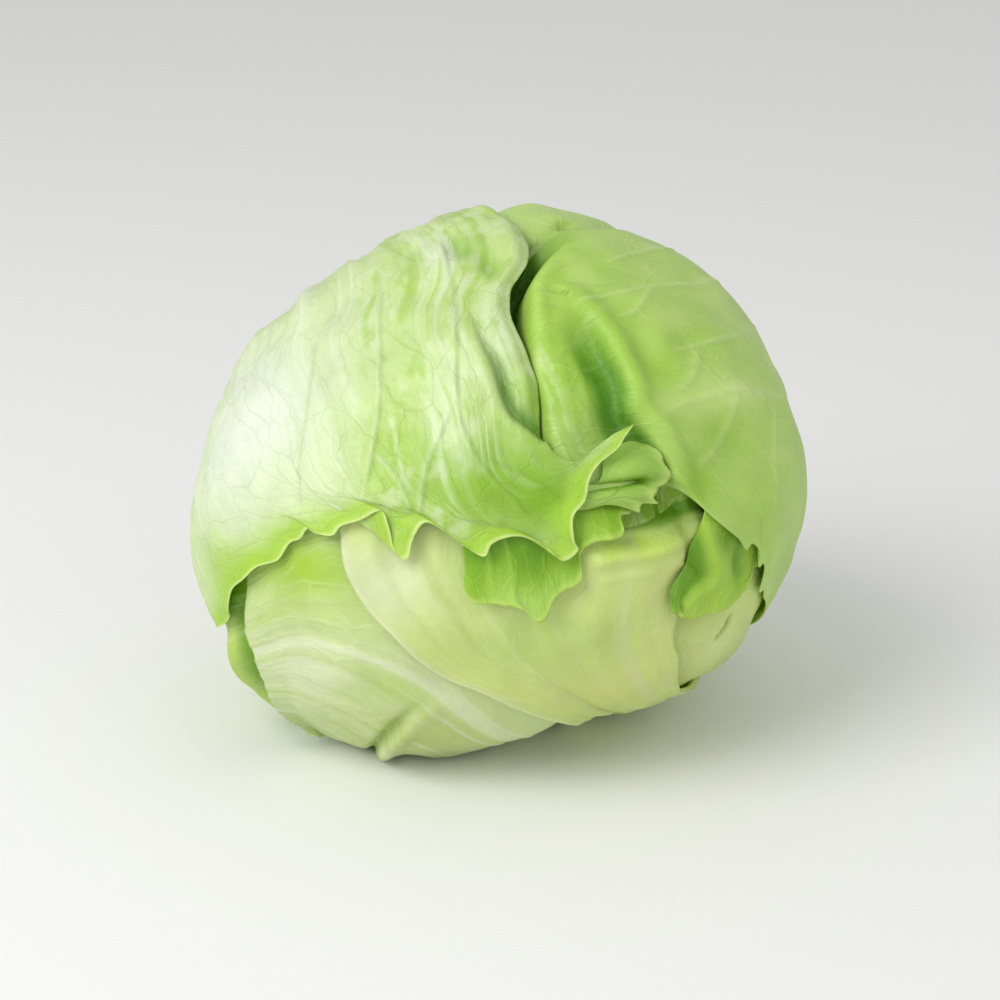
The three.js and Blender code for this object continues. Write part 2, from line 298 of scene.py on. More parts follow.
def buildLeaf(name, order):
    # two skins of a grid: at the depth under the leaves over it less its own relief, and a thickness deeper
    leaf = leaves[name]
    columns, rows = leaf.get("grid", (200, 200))
    even = np.linspace(0, 1, rows + 1)
    u, v = np.meshgrid(np.linspace(0, 1, columns + 1), even + skinShape["rowCrowd"] * even * (1 - even))
    band = leaf.get("rollBand", 0.06)
    # the rolled margin: along an arc, s sin(x)/x forward and s (1 - cos x)/x up, x growing to the roll
    s = np.clip((v - (1 - band)) / band, 0.0, 1.0)
    x = leaf["roll"] * s + 1e-6
    vRolled = np.where(s > 0, 1 - band + band * s * np.sin(x) / x, v)
    place = coonsGrid(leaf, u, v)
    plain = coonsGrid(leaf, u, np.minimum(v, 1 - band))
    share = np.where(s > 0, (vRolled - (1 - band)) / band / np.maximum(s, 1e-6), 1.0)
    place = plain + (place - plain) * share[..., None]
    p, q = place[..., 0], place[..., 1]
    d = directions(p, q)
    bandLength = np.linalg.norm(coonsGrid(leaf, u[-2:], v[-2:])[-1] - plain[-1], axis=-1) * mmPerDegree
    lift = bandLength[None] * s * (1 - np.cos(x)) / x
    across = np.linalg.norm(np.diff(place[rows // 2], axis=0), axis=-1).sum() * mmPerDegree
    along = np.linalg.norm(np.diff(place[:, columns // 2], axis=0), axis=-1).sum() * mmPerDegree
    edge = np.minimum(np.minimum(u, 1 - u) * across, (1 - v) * along)
    seed = leaf["seed"]
    wander = noise(p / 24, q / 24, seed) * leaf["wander"][0]
    wander = wander + noise(p / 10, q / 10, seed + 1) * leaf["wander"][1]
    streaks = noise(u * across / 6.0, v * along / 34.0, seed + 2) * leaf["streaks"]
    ruffle = noise(u * across / 7.0, v * 2.0, seed + 3) * leaf["ruffle"] * smooth(v, 0.90, 1.0)
    fine = noise(u * across / 2.6, v * 3.0, seed + 4) * leaf["ruffle"] * 0.35
    ruffle = ruffle + fine * smooth(v, 0.95, 1.0)
    ribHeight = ribs(leaf, u, v)
    limit = skinShape["looseLimit"]
    own = limit * np.tanh((wander + streaks + ruffle) / limit) + ribHeight + lift + leaf["rise"](p, q, u, v)
    calm = smooth(lookUp(coverAbove[name], p, q), 0.0, 6.0)    # 0 under another leaf
    kept = skinShape["coveredShare"]
    own = np.where(own > 0, own * (kept + (1 - kept) * calm), own)
    depth = depthUnder(order, p, q)
    thin = skinShape["edgeThick"]
    thickness = thin + (leaf["thick"] - thin) * smooth(edge, 0.0, skinShape["edgeBand"]) + 0.4 * ribHeight
    outer = pointsAt(d, depth - own)
    inner = pointsAt(d, depth - own + thickness)
    tint = leaf["tint"](p, q, u, v)
    toStem = smooth(np.hypot(p, q), 112, 158)                  # the leaf pales towards the stem
    tint = mixTo(tint, leaf["ribColour"], 0.8 * toStem)
    tint = mixTo(tint, leaf["ribColour"], np.clip(ribHeight / leaf["ribShade"], 0, 1)).reshape(-1, 3)
    points = np.concatenate([outer.reshape(-1, 3), inner.reshape(-1, 3)])
    uv = np.stack([u * across / 100.0, v * along / 100.0], -1).reshape(-1, 2)
    piece = meshFrom(name.replace("_leaf", "_blade"), points, [sheetFaces(columns, rows)],
                     np.concatenate([tint, tint]), np.concatenate([uv, uv]))
    piece.data.materials.append(leafMaterial(name, leaf))
    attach(piece, "root")
    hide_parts(name)
    print("leaf", name, len(points), "points")


def paint(base, patches, p, q):
    # the base colour, then for each (p, q, width, height, colour, share) an oval patch blended over it
    tint = np.zeros(p.shape + (3,)) + linear(*base)
    for atP, atQ, width, widthQ, colour, share in patches:
        tint = mixTo(tint, linear(*colour), share * blob(p, q, atP, atQ, width, widthQ))
    return tint


def linear(red, green, blue):
    # 0 to 255 display values to linear light
    c = np.array([red, green, blue]) / 255.0
    return np.where(c <= 0.04045, c / 12.92, ((c + 0.055) / 1.055) ** 2.4)


def mixTo(colour, other, amount):
    # colour + (other - colour) amount
    return colour + (np.array(other) - colour) * amount[..., None]


# ---- leaf finish ----
finish = dict(roughness=0.36, roughnessSpread=0.16, netScale=7.0, netWidth=0.05, bump=0.0009,
              subsurface=0.18, subsurfaceScale=0.0025, translucent=0.12)


def node(tree, kind, **inputs):
    # a shader node; each name sets an input's value, or else the node's own property
    made = tree.nodes.new(kind)
    for key, value in inputs.items():
        if key in made.inputs:
            made.inputs[key].default_value = value
        else:
            setattr(made, key, value)
    return made


def mapRange(tree, source, fromRange, toRange, kind="LINEAR"):
    # the source's value carried from one range to the other
    made = node(tree, "ShaderNodeMapRange", interpolation_type=kind)
    for key, value in zip(("From Min", "From Max", "To Min", "To Max"), (*fromRange, *toRange)):
        made.inputs[key].default_value = value
    tree.links.new(source, made.inputs["Value"])
    return made.outputs["Result"]


def timesPlus(tree, source, factor, extra):
    # source x factor + extra
    made = node(tree, "ShaderNodeMath", operation="MULTIPLY_ADD")
    tree.links.new(source, made.inputs[0])
    made.inputs[1].default_value = factor
    tree.links.new(extra, made.inputs[2])
    return made.outputs[0]


def shaded(tree, colour, shade):
    # colour x shade
    made = node(tree, "ShaderNodeVectorMath", operation="SCALE")
    tree.links.new(colour, made.inputs[0])
    tree.links.new(shade, made.inputs["Scale"])
    return made.outputs["Vector"]


def stretched(tree, vector, scale):
    # vector x scale
    made = node(tree, "ShaderNodeMapping")
    made.inputs["Scale"].default_value = scale
    tree.links.new(vector, made.inputs["Vector"])
    return made.outputs["Vector"]


def leafMaterial(name, leaf):
    # the painted tint under a net of veins and soft patches, over a glossy skin with some light let through
    material = bpy.data.materials.new(name.replace("_leaf", "_skin"))
    material.use_nodes = True
    tree = material.node_tree
    tree.nodes.clear()
    link = tree.links.new
    tint = node(tree, "ShaderNodeAttribute", attribute_name="tint")
    uv = node(tree, "ShaderNodeUVMap", uv_map="leafUv")
    place = node(tree, "ShaderNodeTexCoord")
    # the net of small veins: edges of Voronoi cells drawn out along the leaf, wandering with a noise
    wobble = node(tree, "ShaderNodeTexNoise", Scale=9.0, Detail=3.0)
    link(uv.outputs["UV"], wobble.inputs["Vector"])
    wobbled = node(tree, "ShaderNodeVectorMath", operation="MULTIPLY_ADD")
    wobbled.inputs[1].default_value = (0.10, 0.10, 0.0)
    link(wobble.outputs["Color"], wobbled.inputs[0])
    link(uv.outputs["UV"], wobbled.inputs[2])
    masks = []
    netScale = leaf.get("netScale", finish["netScale"])
    netWidth = leaf.get("netWidth", finish["netWidth"])
    for scale, stretch in ((netScale, leaf.get("netStretch", 0.5)), (netScale * 3.1, 0.75)):
        cells = node(tree, "ShaderNodeTexVoronoi", feature="DISTANCE_TO_EDGE", Scale=scale)
        link(stretched(tree, wobbled.outputs["Vector"], (1.0, stretch, 1.0)), cells.inputs["Vector"])
        masks.append(mapRange(tree, cells.outputs["Distance"], (0.0, netWidth), (1.0, 0.0), "SMOOTHSTEP"))
    net = timesPlus(tree, masks[1], 0.35, masks[0])
    strength = node(tree, "ShaderNodeMath", operation="MULTIPLY")
    link(net, strength.inputs[0])
    strength.inputs[1].default_value = leaf.get("netStrength", 0.3)
    veined = node(tree, "ShaderNodeMix", data_type="RGBA")
    link(strength.outputs[0], veined.inputs["Factor"])
    link(tint.outputs["Color"], veined.inputs[6])
    veined.inputs[7].default_value = (*leaf.get("netColour", leaf["ribColour"]), 1.0)
    # soft patches of lighter and darker tissue
    patches = node(tree, "ShaderNodeTexNoise", Scale=55.0, Detail=5.0, Roughness=0.6)
    link(place.outputs["Object"], patches.inputs["Vector"])
    shade = mapRange(tree, patches.outputs["Fac"], (0.3, 0.7), (0.90, 1.06))
    colour = shaded(tree, veined.outputs[2], shade)
    # fine wrinkles along the leaf, and the net standing a little proud
    wrinkles = node(tree, "ShaderNodeTexNoise", Scale=1.0, Detail=5.0, Roughness=0.62)
    link(stretched(tree, wobbled.outputs["Vector"], (38.0, 6.0, 1.0)), wrinkles.inputs["Vector"])
    height = timesPlus(tree, net, leaf.get("netBump", 0.25), wrinkles.outputs["Fac"])
    bump = node(tree, "ShaderNodeBump", Strength=0.5, Distance=finish["bump"])
    link(height, bump.inputs["Height"])
    low = leaf.get("roughness", finish["roughness"])
    gloss = mapRange(tree, patches.outputs["Fac"], (0.3, 0.7), (low, low + finish["roughnessSpread"]))
    skin = node(tree, "ShaderNodeBsdfPrincipled")
    skin.inputs["Subsurface Weight"].default_value = finish["subsurface"]
    skin.inputs["Subsurface Radius"].default_value = (0.8, 1.0, 0.35)
    skin.inputs["Subsurface Scale"].default_value = finish["subsurfaceScale"]
    skin.inputs["Specular IOR Level"].default_value = 0.5
    link(colour, skin.inputs["Base Color"])
    link(gloss, skin.inputs["Roughness"])
    link(bump.outputs["Normal"], skin.inputs["Normal"])
    through = node(tree, "ShaderNodeBsdfTranslucent")
    link(colour, through.inputs["Color"])
    mixed = node(tree, "ShaderNodeMixShader")
    mixed.inputs["Fac"].default_value = finish["translucent"]
    link(skin.outputs["BSDF"], mixed.inputs[1])
    link(through.outputs["BSDF"], mixed.inputs[2])
    output = node(tree, "ShaderNodeOutputMaterial")
    link(mixed.outputs["Shader"], output.inputs["Surface"])
    return material


# ---- left wrapper: comes over the top from the stem, pleated beside the crevice, ragged below ----
creaseLine = [(-8, 8), (-10.5, 10.5), (-13, 13), (-14, 16), (-14.5, 20), (-15, 25), (-16, 29),
              (-17.5, 40)]
leftVeins = [
    [(-18, 66), (-20, 40), (-23, 18), (-21, 6), (-14, -4), (-9, -12)],
    [(-21, 6), (-12, 1), (-5, -5)],
    [(-23, 18), (-30, 6), (-33, -6)],
    [(-36, 58), (-38, 30), (-41, 10), (-44, -3)],
    [(-41, 10), (-36, 3), (-34, -4)],
    [(-54, 44), (-57, 20), (-58, -4)],
]


def veinsOf(lines, p, q, width):
    # the highest of thin humps along the lines, each narrowing and fading to its end
    total = np.zeros(p.shape)
    for line in lines:
        s, t = alongLine(line, p, q)
        ends = smooth(1 - t, 0.0, 0.15) * smooth(t, 0.0, 0.12)
        total = np.maximum(total, hump(s, width * (1.2 - 0.6 * t)) * ends)
    return total


def leftRise(p, q, u, v):
    # a sharp groove and its lip along the crease, dents and swellings as blobs, fine pleats, raised veins
    s, t = alongLine(creaseLine, p, q)
    fade = smooth(t, 1.0, 0.55)
    groove = -3.4 * fade * smooth(-s, -0.6, 0.5) * np.exp(-np.maximum(-s - 0.5, 0) / 2.6)
    lip = 0.9 * fade * hump(s - 1.6, 1.8)
    dents = -2.2 * blob(p, q, -14, 59, 3.6, 4.4) - 1.9 * blob(p, q, -9.5, 50, 2.2, 4.2)
    dents = dents + 0.9 * blob(p, q, -19, 58, 3, 7) + 0.8 * blob(p, q, -11.5, 54, 2, 6)
    dents = dents - 1.1 * blob(p, q, -36, 14, 6, 13) + 0.9 * blob(p, q, -48, 22, 7, 16)
    dents = dents - 0.8 * blob(p, q, -63, 12, 5, 12)
    edgeIn = -2.6 * smooth(2.2 - u * 100, 0.0, 2.2) * (p > -12) * smooth(q, 4, 14)
    spurUp = 2.6 * blob(p, q, 6, 6, 5, 3.5)
    fine = 0.16 * noise(u * 84, v * 5, 13) * smooth(v, 0.3, 0.6) + 0.10 * noise(u * 170, v * 9, 14)
    fine = fine * smooth(1 - v, 0.08, 0.28)
    fine = fine + 0.32 * noise(p / 2.3, q / 3.4, 15) * smooth(p, -50, -30)
    veins = 0.30 * veinsOf(leftVeins, p, q, 0.7) - 0.20 * veinsOf(leftVeins, p - 1.1, q, 0.6)
    return groove + lip + dents + edgeIn + spurUp + fine + veins


# Some patches are painted light: the near-white wash at (-72, 22) and the pale spots at (-12.5, 31) and
# (-20, 58) are painted highlights; the greens at (-14, 59) and (-9.5, 50) are painted shade in the dents,
# and the green at (-8, 14) is painted shade beside the crease.
leftPatches = [
    (-72, 22, 28, 34, (240, 249, 228), 1.0), (-46, 44, 12, 20, (220, 239, 180), 0.7),
    (-60, 2, 12, 12, (224, 240, 186), 0.7), (-36, 8, 9, 17, (174, 213, 74), 0.85),
    (-30, 34, 8, 14, (196, 225, 136), 0.6), (-21, 1, 13, 11, (142, 193, 26), 0.95),
    (-9, -3, 10, 9, (136, 190, 24), 1.0), (-25, 17, 4, 12, (222, 240, 190), 0.75),
    (-12.5, 31, 3.4, 9, (226, 242, 196), 0.85), (-14, 59, 4.6, 5.4, (150, 200, 70), 0.95),
    (-9.5, 50, 2.6, 4.6, (152, 200, 72), 0.95), (-20, 58, 4, 5, (234, 247, 212), 0.75),
    (-8, 14, 2.8, 9, (150, 200, 50), 0.9), (-32, -7, 9, 5, (162, 204, 60), 0.85),
    (-80, -12, 9, 8, (178, 216, 84), 0.85), (-52, -5, 8, 5, (206, 230, 140), 0.6),
]


def leftTint(p, q, u, v):
    # the patches, then streaks along the leaf, mottling with painted highlight spots, veins with a painted
    # shadow beside them, a bright margin with a pale rim, and painted shade along the crease
    tint = paint((204, 229, 146), leftPatches, p, q)
    pale = smooth(noise(u * 130, v * 7, 31) + 0.6 * noise(u * 60, v * 5, 32), 0.15, 1.2)
    pale = pale * smooth(v, 0.2, 0.5)
    green = smooth(noise(u * 90, v * 6, 33) + 0.6 * noise(u * 40, v * 6, 34), 0.2, 1.2)
    green = green * smooth(p, -66, -34)
    calm = smooth(1 - v, 0.08, 0.28)
    tint = mixTo(tint, linear(164, 206, 74), 0.60 * green * calm)
    tint = mixTo(tint, linear(238, 248, 216), 0.65 * pale * calm * (1 - 0.75 * smooth(p, -22, -8)))
    mottle = noise(p / 2.6, q / 3.8, 35) + 0.5 * noise(p / 1.2, q / 1.6, 36)
    clear = 1 - smooth(p, -28, -14) * smooth(14 - q, 0, 10)
    # painted highlights: near-white spots over the blistered skin, away from the green crown
    paintedHighlightSpots = clear * smooth(mottle, 0.2, 1.1) * smooth(p, -58, -36)
    tint = mixTo(tint, linear(236, 248, 210), 0.42 * paintedHighlightSpots)
    tint = mixTo(tint, linear(156, 202, 60), 0.50 * smooth(-mottle, 0.2, 1.1) * smooth(p, -54, -32))
    # painted shadow: a dark line just beside each raised vein
    tint = mixTo(tint, linear(118, 164, 48), 0.28 * veinsOf(leftVeins, p - 0.6, q, 0.5))
    tint = mixTo(tint, linear(232, 244, 206), 0.30 * clear * veinsOf(leftVeins, p, q, 0.6))
    tint = mixTo(tint, linear(172, 214, 66), 0.80 * smooth(v, 0.80, 0.96) * smooth(-p, 30, 74))
    tint = mixTo(tint, linear(170, 216, 40), 0.75 * smooth(v, 0.90, 0.97))
    tint = mixTo(tint, linear(222, 242, 150), 0.75 * smooth(v, 0.982, 0.996))
    # painted shade: dark green in the crease's groove
    s, t = alongLine(creaseLine, p, q)
    return mixTo(tint, linear(96, 152, 22), 0.85 * hump(s + 1.2, 1.4) * smooth(t, 0.9, 0.3))


leaves["left_wrapper_leaf"] = dict(
    foot=(66, 162), lies=2.0, thick=0.9, slot="wrapper_pale", seed=11, grid=(250, 190), ragged=0.20,
    tipSmoothing=0.04, ease=0.8,
    first=[(11, 115), (3, 62), (2, 56), (-0.5, 50), (-3.5, 46.5), (-6.5, 43), (-8, 38.5), (-8.5, 35),
           (-7.5, 29), (-7, 24), (-6.5, 20), (-7, 15), (-7.5, 11), (-7.5, 8), (-6, 5), (-2.5, 3), (1.5, 4.5),
           (5, 7)],
    tip=[(9.5, 8.5), (7, 6.5), (5.5, 4.5), (2, 2), (0, -0.5), (-1.2, -4.3), (-3.8, -7.2), (-4, -11.5),
         (-3.3, -13.5), (-6.5, -15), (-9.5, -12), (-14.5, -9.7), (-19, -10.6), (-20.8, -13), (-24.5, -10.5),
         (-27, -7.8), (-31, -5.5), (-33.5, -8.5), (-34.6, -12), (-36, -12), (-37.5, -10), (-37.8, -6),
         (-39, -2.5), (-43.5, -4), (-48, -5), (-50, -6.8), (-53.5, -6), (-55, -4.9), (-57, -7), (-60, -8),
         (-63, -11.6), (-68, -13), (-72, -16), (-76, -19), (-79, -25), (-83, -30), (-88, -33), (-93, -34.5),
         (-98, -34)],
    last=[(-144, 38), (-132, 10), (-118, -14)],
    ribs=[(0.42, 1.5, 0.024, 0.62, 0.05), (0.31, 0.6, 0.009, 0.60, 0.06), (0.54, 0.6, 0.009, 0.64, -0.04),
          (0.20, 0.5, 0.008, 0.58, 0.08), (0.66, 0.5, 0.008, 0.70, -0.05), (0.77, 0.45, 0.008, 0.75, -0.06),
          (0.88, 0.4, 0.008, 0.80, -0.05)],
    ribColour=linear(234, 244, 208), ribShade=1.2, wander=(1.1, 0.8), streaks=0.45, ruffle=0.7,
    roll=0.25, rollBand=0.10, rise=leftRise, tint=leftTint, roughness=0.30, netStrength=0.14,
    netColour=linear(150, 190, 84), netWidth=0.022, netScale=9.0, netStretch=0.42, netBump=-0.25,
)


# ---- curled young leaf: a small roll lying in the crown under the left wrapper's spur ----
def curlRise(p, q, u, v):
    # a groove along the roll, a swelling above it and one below, the tip bent in
    groove = -2.2 * hump(q + 2.3 - 0.03 * p, 0.6) * smooth(p, -3, 1) * smooth(13 - p, 0, 3)
    swellings = 2.4 * blob(p, q, 7.5, 1.8, 6, 3.0) + 1.2 * blob(p, q, 6, -4.6, 7, 1.3)
    return groove + swellings - 1.6 * smooth(v, 0.90, 1.0)


curlPatches = [(8, 2, 6, 3, (166, 212, 88), 0.8), (6, -5, 8, 1.4, (176, 214, 100), 0.7)]


def curlTint(p, q, u, v):
    # the patches, painted shade in the groove and a pale rim
    tint = paint((158, 204, 78), curlPatches, p, q)
    # painted shade along the groove
    tint = mixTo(tint, linear(108, 160, 22), 0.85 * hump(q + 2.2, 0.9))
    return mixTo(tint, linear(206, 234, 124), 0.7 * smooth(v, 0.985, 1.0))


leaves["crown_curl_leaf"] = dict(
    foot=(114, 154), lies=0.0, thick=0.8, slot="crown_green", seed=23, grid=(150, 220), ragged=0.05,
    tipSmoothing=0.10,
    first=[(-84, 96), (-56, 54), (-22, 16), (-0.5, -1), (4, 3.5), (9, 5.7)],
    tip=[(12.5, 4.6), (14.7, 3), (15.2, 1), (16.6, -1.3), (15.6, -2.8), (13.4, -3.7), (12.2, -5.3),
         (13, -6.5), (9.8, -6.2), (9.3, -7.8)],
    last=[(-112, 46), (-70, 18), (-24, 0), (-4, -6), (3.5, -5.8)],
    ribs=[(0.75, 0.4, 0.02, 1.0, 0.0), (0.35, 0.3, 0.015, 1.0, 0.0)],
    ribColour=linear(200, 226, 128), ribShade=0.8, wander=(0.3, 0.3), streaks=0.1, ruffle=0.7,
    roll=0.2, rollBand=0.02, rise=curlRise, tint=curlTint, netStrength=0.2,
)

# ---- right wrapper: comes round from the right, rolls into a lip beside the crevice, pocket behind it ----
lipLine = [(-7.4, 6), (-7.2, 12), (-6.9, 17.5), (-7.0, 23), (-6.8, 28), (-6.2, 32.5), (-5.2, 37), (-3.5, 42),
           (-0.9, 46), (3.6, 50), (8, 52), (12, 53), (16, 53.4)]
foldLine = [(24.6, -14.4), (22.5, -9), (21.3, -6.6), (19.4, -4.5), (17, -1.5), (16.6, 0.4), (14.7, 3.4),
            (13.4, 6.7), (11.7, 9.8), (10.6, 12.5), (10.7, 15), (10.4, 18.6), (9.4, 22.6), (8.2, 28),
            (6.9, 32), (5, 36)]
rightVeins = [
    [(62, 14), (46, 12), (34, 13), (24, 12), (14, 10)],
    [(34, 13), (29, 4), (22, -1)],
    [(46, 12), (43, 0), (40, -12)],
    [(62, 32), (44, 26), (30, 24), (20, 22)],
    [(30, 24), (25, 17), (20, 14)],
    [(60, 46), (40, 40), (24, 38), (10, 36), (-2, 34)],
    [(24, 38), (17, 32), (12, 31)],
    [(52, 58), (34, 52), (16, 46)],
]


def rightPleat(p, q):
    # the crevice left of the lip, 11 deep; the pocket between lip and fold, 5 deep against the fold
    s, t = alongLine(lipLine, p, q)
    crevice = 11.0 * smooth(s, -1.8, 2.8) * smooth(1 - t, 0.06, 0.36)
    crevice = crevice * smooth(p, -45, -30) * smooth(q, -3, 7)
    g, w = alongLine(foldLine, p, q)
    inside = smooth(g, -0.8, 2.0)
    pocket = inside * (3.6 * smooth(12.0 - g, 0.0, 10.0) + 1.4 * smooth(18 - g, 0.0, 6.0))
    pocket = pocket * smooth(w, 0.0, 0.25) * smooth(1 - w, 0.0, 0.22) * smooth(s, 1.5, -2.5)
    return crevice + pocket


def rightRise(p, q, u, v):
    # small folds in the pocket, a bulge along the lip and one along the fold, hollows as blobs, raised veins
    s, t = alongLine(lipLine, p, q)
    g, w = alongLine(foldLine, p, q)
    folds = 0.45 * noise(p / 1.3, q / 14, 41) * hump(g - 11, 6) * hump(q - 22, 14)
    folds = folds + 0.5 * noise(q / 1.6 + p / 6, p / 9, 43) * blob(p, q, 6, 38, 10, 4.5)
    bulge = 1.9 * hump(s + 2.4, 2.4) * smooth(1 - t, 0, 0.3) + 1.6 * hump(g + 2.0, 2.4) * smooth(w, 0.1, 0.4)
    hollows = -1.8 * blob(p, q, 28, 24, 6, 4) - 1.4 * blob(p, q, 17, 22, 3.5, 7)
    hollows = hollows + 1.5 * blob(p, q, 34, 13, 9, 4) - 1.4 * blob(p, q, 30, 2, 6, 6)
    hollows = hollows + 1.0 * blob(p, q, 20, 34, 8, 3) - 1.0 * blob(p, q, 42, 32, 8, 4)
    hollows = hollows - 1.0 * blob(p, q, 50, 4, 6, 5) + 0.8 * blob(p, q, 42, -8, 5, 5)
    veins = 0.45 * veinsOf(rightVeins, p, q, 0.8) * smooth(-g, -1.0, 1.0)
    return folds + bulge + hollows + veins - 0.8 * blob(p, q, 23, -3, 3, 5)


# Some patches are painted light: the greens at (18, 20), (28, 24), (30, 5) and (22, -4) are painted shade in
# the hollows, and the pale one at (34, 13) is a painted highlight on the bulge.
rightPatches = [
    (5, 22, 11, 16, (140, 194, 30), 0.55), (18, 20, 5, 9, (160, 208, 54), 0.7),
    (30, 5, 6, 5, (166, 212, 62), 0.7), (28, 24, 7, 4, (170, 213, 76), 0.6),
    (34, 13, 9, 3.6, (214, 237, 150), 0.8), (-1, 40, 6, 8, (206, 234, 126), 0.8),
    (50, 30, 12, 14, (196, 229, 130), 0.6), (22, -4, 5, 6, (146, 196, 36), 0.8),
    (38, -12, 8, 8, (178, 220, 88), 0.7), (12, 44, 8, 4, (170, 212, 84), 0.5),
    (20, 56, 14, 4, (196, 228, 126), 0.7), (46, -6, 8, 9, (190, 229, 116), 0.6),
]


def rightTint(p, q, u, v):
    # the patches, veins, stripes on the panel beside the lip, painted shade in the pocket and painted shade
    # in the crevice
    tint = paint((184, 221, 108), rightPatches, p, q)
    tint = mixTo(tint, linear(164, 210, 66), 0.6 * smooth(v, 0.84, 0.92) * smooth(q, 8, 16))
    tint = mixTo(tint, linear(206, 232, 136), 0.45 * smooth(noise(p / 9, q / 6, 45), 0.1, 0.9))
    g, w = alongLine(foldLine, p, q)
    tint = mixTo(tint, linear(208, 230, 154), 0.5 * veinsOf(rightVeins, p, q, 0.6) * smooth(-g, -1.0, 1.0))
    s, t = alongLine(lipLine, p, q)
    onPanel = smooth(g, 6.5, 8.5) * smooth(s, 0, -2) * smooth(w, 0.3, 0.5) * smooth(1 - w, 0.0, 0.2)
    tint = mixTo(tint, linear(210, 236, 150), 0.85 * onPanel * smooth(noise(g / 0.9, q / 14, 46), -0.1, 0.6))
    tint = mixTo(tint, linear(146, 196, 60), 0.50 * onPanel * smooth(noise(g / 1.3, q / 16, 48), 0.1, 0.8))
    # painted shade: dark green over the pocket behind the fold
    pocketShade = smooth(g, -0.3, 1.1) * smooth(8.6 - g, 0.0, 3.4) * smooth(w, 0.15, 0.35) * smooth(1 - w, 0, 0.3)
    tint = mixTo(tint, linear(74, 140, 0), 0.98 * pocketShade * (0.88 + 0.12 * noise(g / 0.9, q / 12, 47)))
    # painted shade: dark green down the crevice left of the lip
    crevice = smooth(s, 0.3, 2.0) * smooth(1 - t, 0.0, 0.25) * smooth(q, 0, 8)
    tint = mixTo(tint, linear(66, 124, 6), 0.92 * crevice)
    return mixTo(tint, linear(190, 224, 120), 0.6 * smooth(u, 0.03, 0.0))


leaves["right_wrapper_leaf"] = dict(
    foot=(-26, 44), lies=2.0, thick=0.9, slot="wrapper_green", seed=37, grid=(240, 200), ragged=0.10,
    first=[(128, -72), (88, -66), (62, -46), (50, -34), (46.5, -31.5), (44, -28.5), (42.2, -28.8),
           (41.2, -24.2), (39.6, -21.3), (38, -22), (37.4, -18.4), (35, -16.6), (33.6, -17.8), (31.6, -15.4),
           (28.6, -13.2), (24.6, -10), (20.5, -6), (16.5, -3.6), (11, -3.8), (4, -4)],
    tip=[(-5, -3), (-10.5, 5), (-13, 14), (-13, 24), (-10, 38), (-5, 48), (1, 55)],
    last=[(92, 84), (64, 68), (33, 62), (23, 60), (15, 59), (9.7, 58), (4, 57)],
    ribs=[(0.50, 1.4, 0.022, 0.70, 0.0), (0.38, 0.6, 0.010, 0.62, 0.05), (0.62, 0.6, 0.010, 0.62, -0.05),
          (0.27, 0.5, 0.009, 0.60, 0.08), (0.73, 0.5, 0.009, 0.60, -0.08), (0.16, 0.4, 0.008, 0.6, 0.06),
          (0.84, 0.4, 0.008, 0.6, -0.08)],
    ribColour=linear(206, 228, 156), ribShade=1.2, wander=(1.0, 0.6), streaks=0.2, ruffle=0.5,
    roll=0.0, rollBand=0.03, rise=rightRise, tint=rightTint, pleat=rightPleat,
    netStrength=0.10, netScale=6.0, netWidth=0.04, netColour=linear(208, 230, 158),
)


# ---- crown tongue: a vivid green young leaf hanging from under the left wrapper ----
def tongueRise(p, q, u, v):
    # folds towards the tip, a hollow under the left wrapper, the tip's corner turned out
    folds = 0.9 * noise(u * 9, v * 2.5, 53) * smooth(v, 0.6, 0.9) - 0.8 * blob(p, q, -12, -15, 6, 4)
    return folds + 1.4 * smooth(v, 0.955, 1.0) * blob(p, q, -14, -24, 9, 6) + 0.6 * smooth(v, 0.97, 1)


def tongueTint(p, q, u, v):
    # vivid green with darker clouds, pale streaks along the leaf and a pale rim
    tint = np.zeros(p.shape + (3,)) + linear(112, 172, 0)
    tint = mixTo(tint, linear(92, 150, 0), 0.7 * smooth(noise(p / 4, q / 5, 54), 0.0, 0.7))
    streaks = smooth(noise(u * 40, v * 6, 55), 0.45, 0.9) * smooth(v, 0.5, 0.8)
    tint = mixTo(tint, linear(168, 208, 78), 0.6 * streaks)
    tint = mixTo(tint, linear(160, 205, 50), 0.6 * smooth(v, 0.93, 0.99))
    tint = mixTo(tint, linear(178, 216, 108), 0.9 * smooth(v, 0.955, 0.985) * blob(p, q, -15, -24, 7, 5))
    return mixTo(tint, linear(200, 230, 110), 0.7 * smooth(v, 0.99, 1.0))


leaves["crown_tongue_leaf"] = dict(
    foot=(100, 140), lies=1.6, thick=0.7, slot="tongue_green", seed=51, grid=(190, 190), ragged=0.05,
    tipSmoothing=0.08,
    first=[(0, 80), (6, 20), (10, 0)],
    tip=[(9.6, -6.3), (8, -8), (5.8, -8.3), (5, -11.6), (0, -12.4), (-2.6, -14.6), (-3, -19.2), (-6, -20.8),
         (-8.4, -22.4), (-9.6, -25), (-11.2, -26.2), (-12.8, -25), (-14.6, -23.4), (-18.3, -22.6),
         (-21.8, -22), (-23.6, -21)],
    last=[(-60, 90), (-46, 40), (-31, 8), (-25.6, -8), (-24.8, -14), (-24.9, -18.5)],
    ribs=[(0.30, 0.4, 0.016, 1.0, 0.0), (0.45, 0.5, 0.018, 1.0, 0.02), (0.58, 0.4, 0.014, 1.0, 0.0),
          (0.71, 0.4, 0.014, 1.0, -0.02), (0.86, 0.35, 0.012, 1.0, -0.02), (0.16, 0.35, 0.014, 1.0, 0.0)],
    ribColour=linear(182, 216, 92), ribShade=0.6, wander=(0.4, 0.5), streaks=0.2, ruffle=0.9,
    roll=0.3, rollBand=0.03, rise=tongueRise, tint=tongueTint, netStrength=0.35, netScale=12.0,
    netColour=linear(166, 208, 66),
)


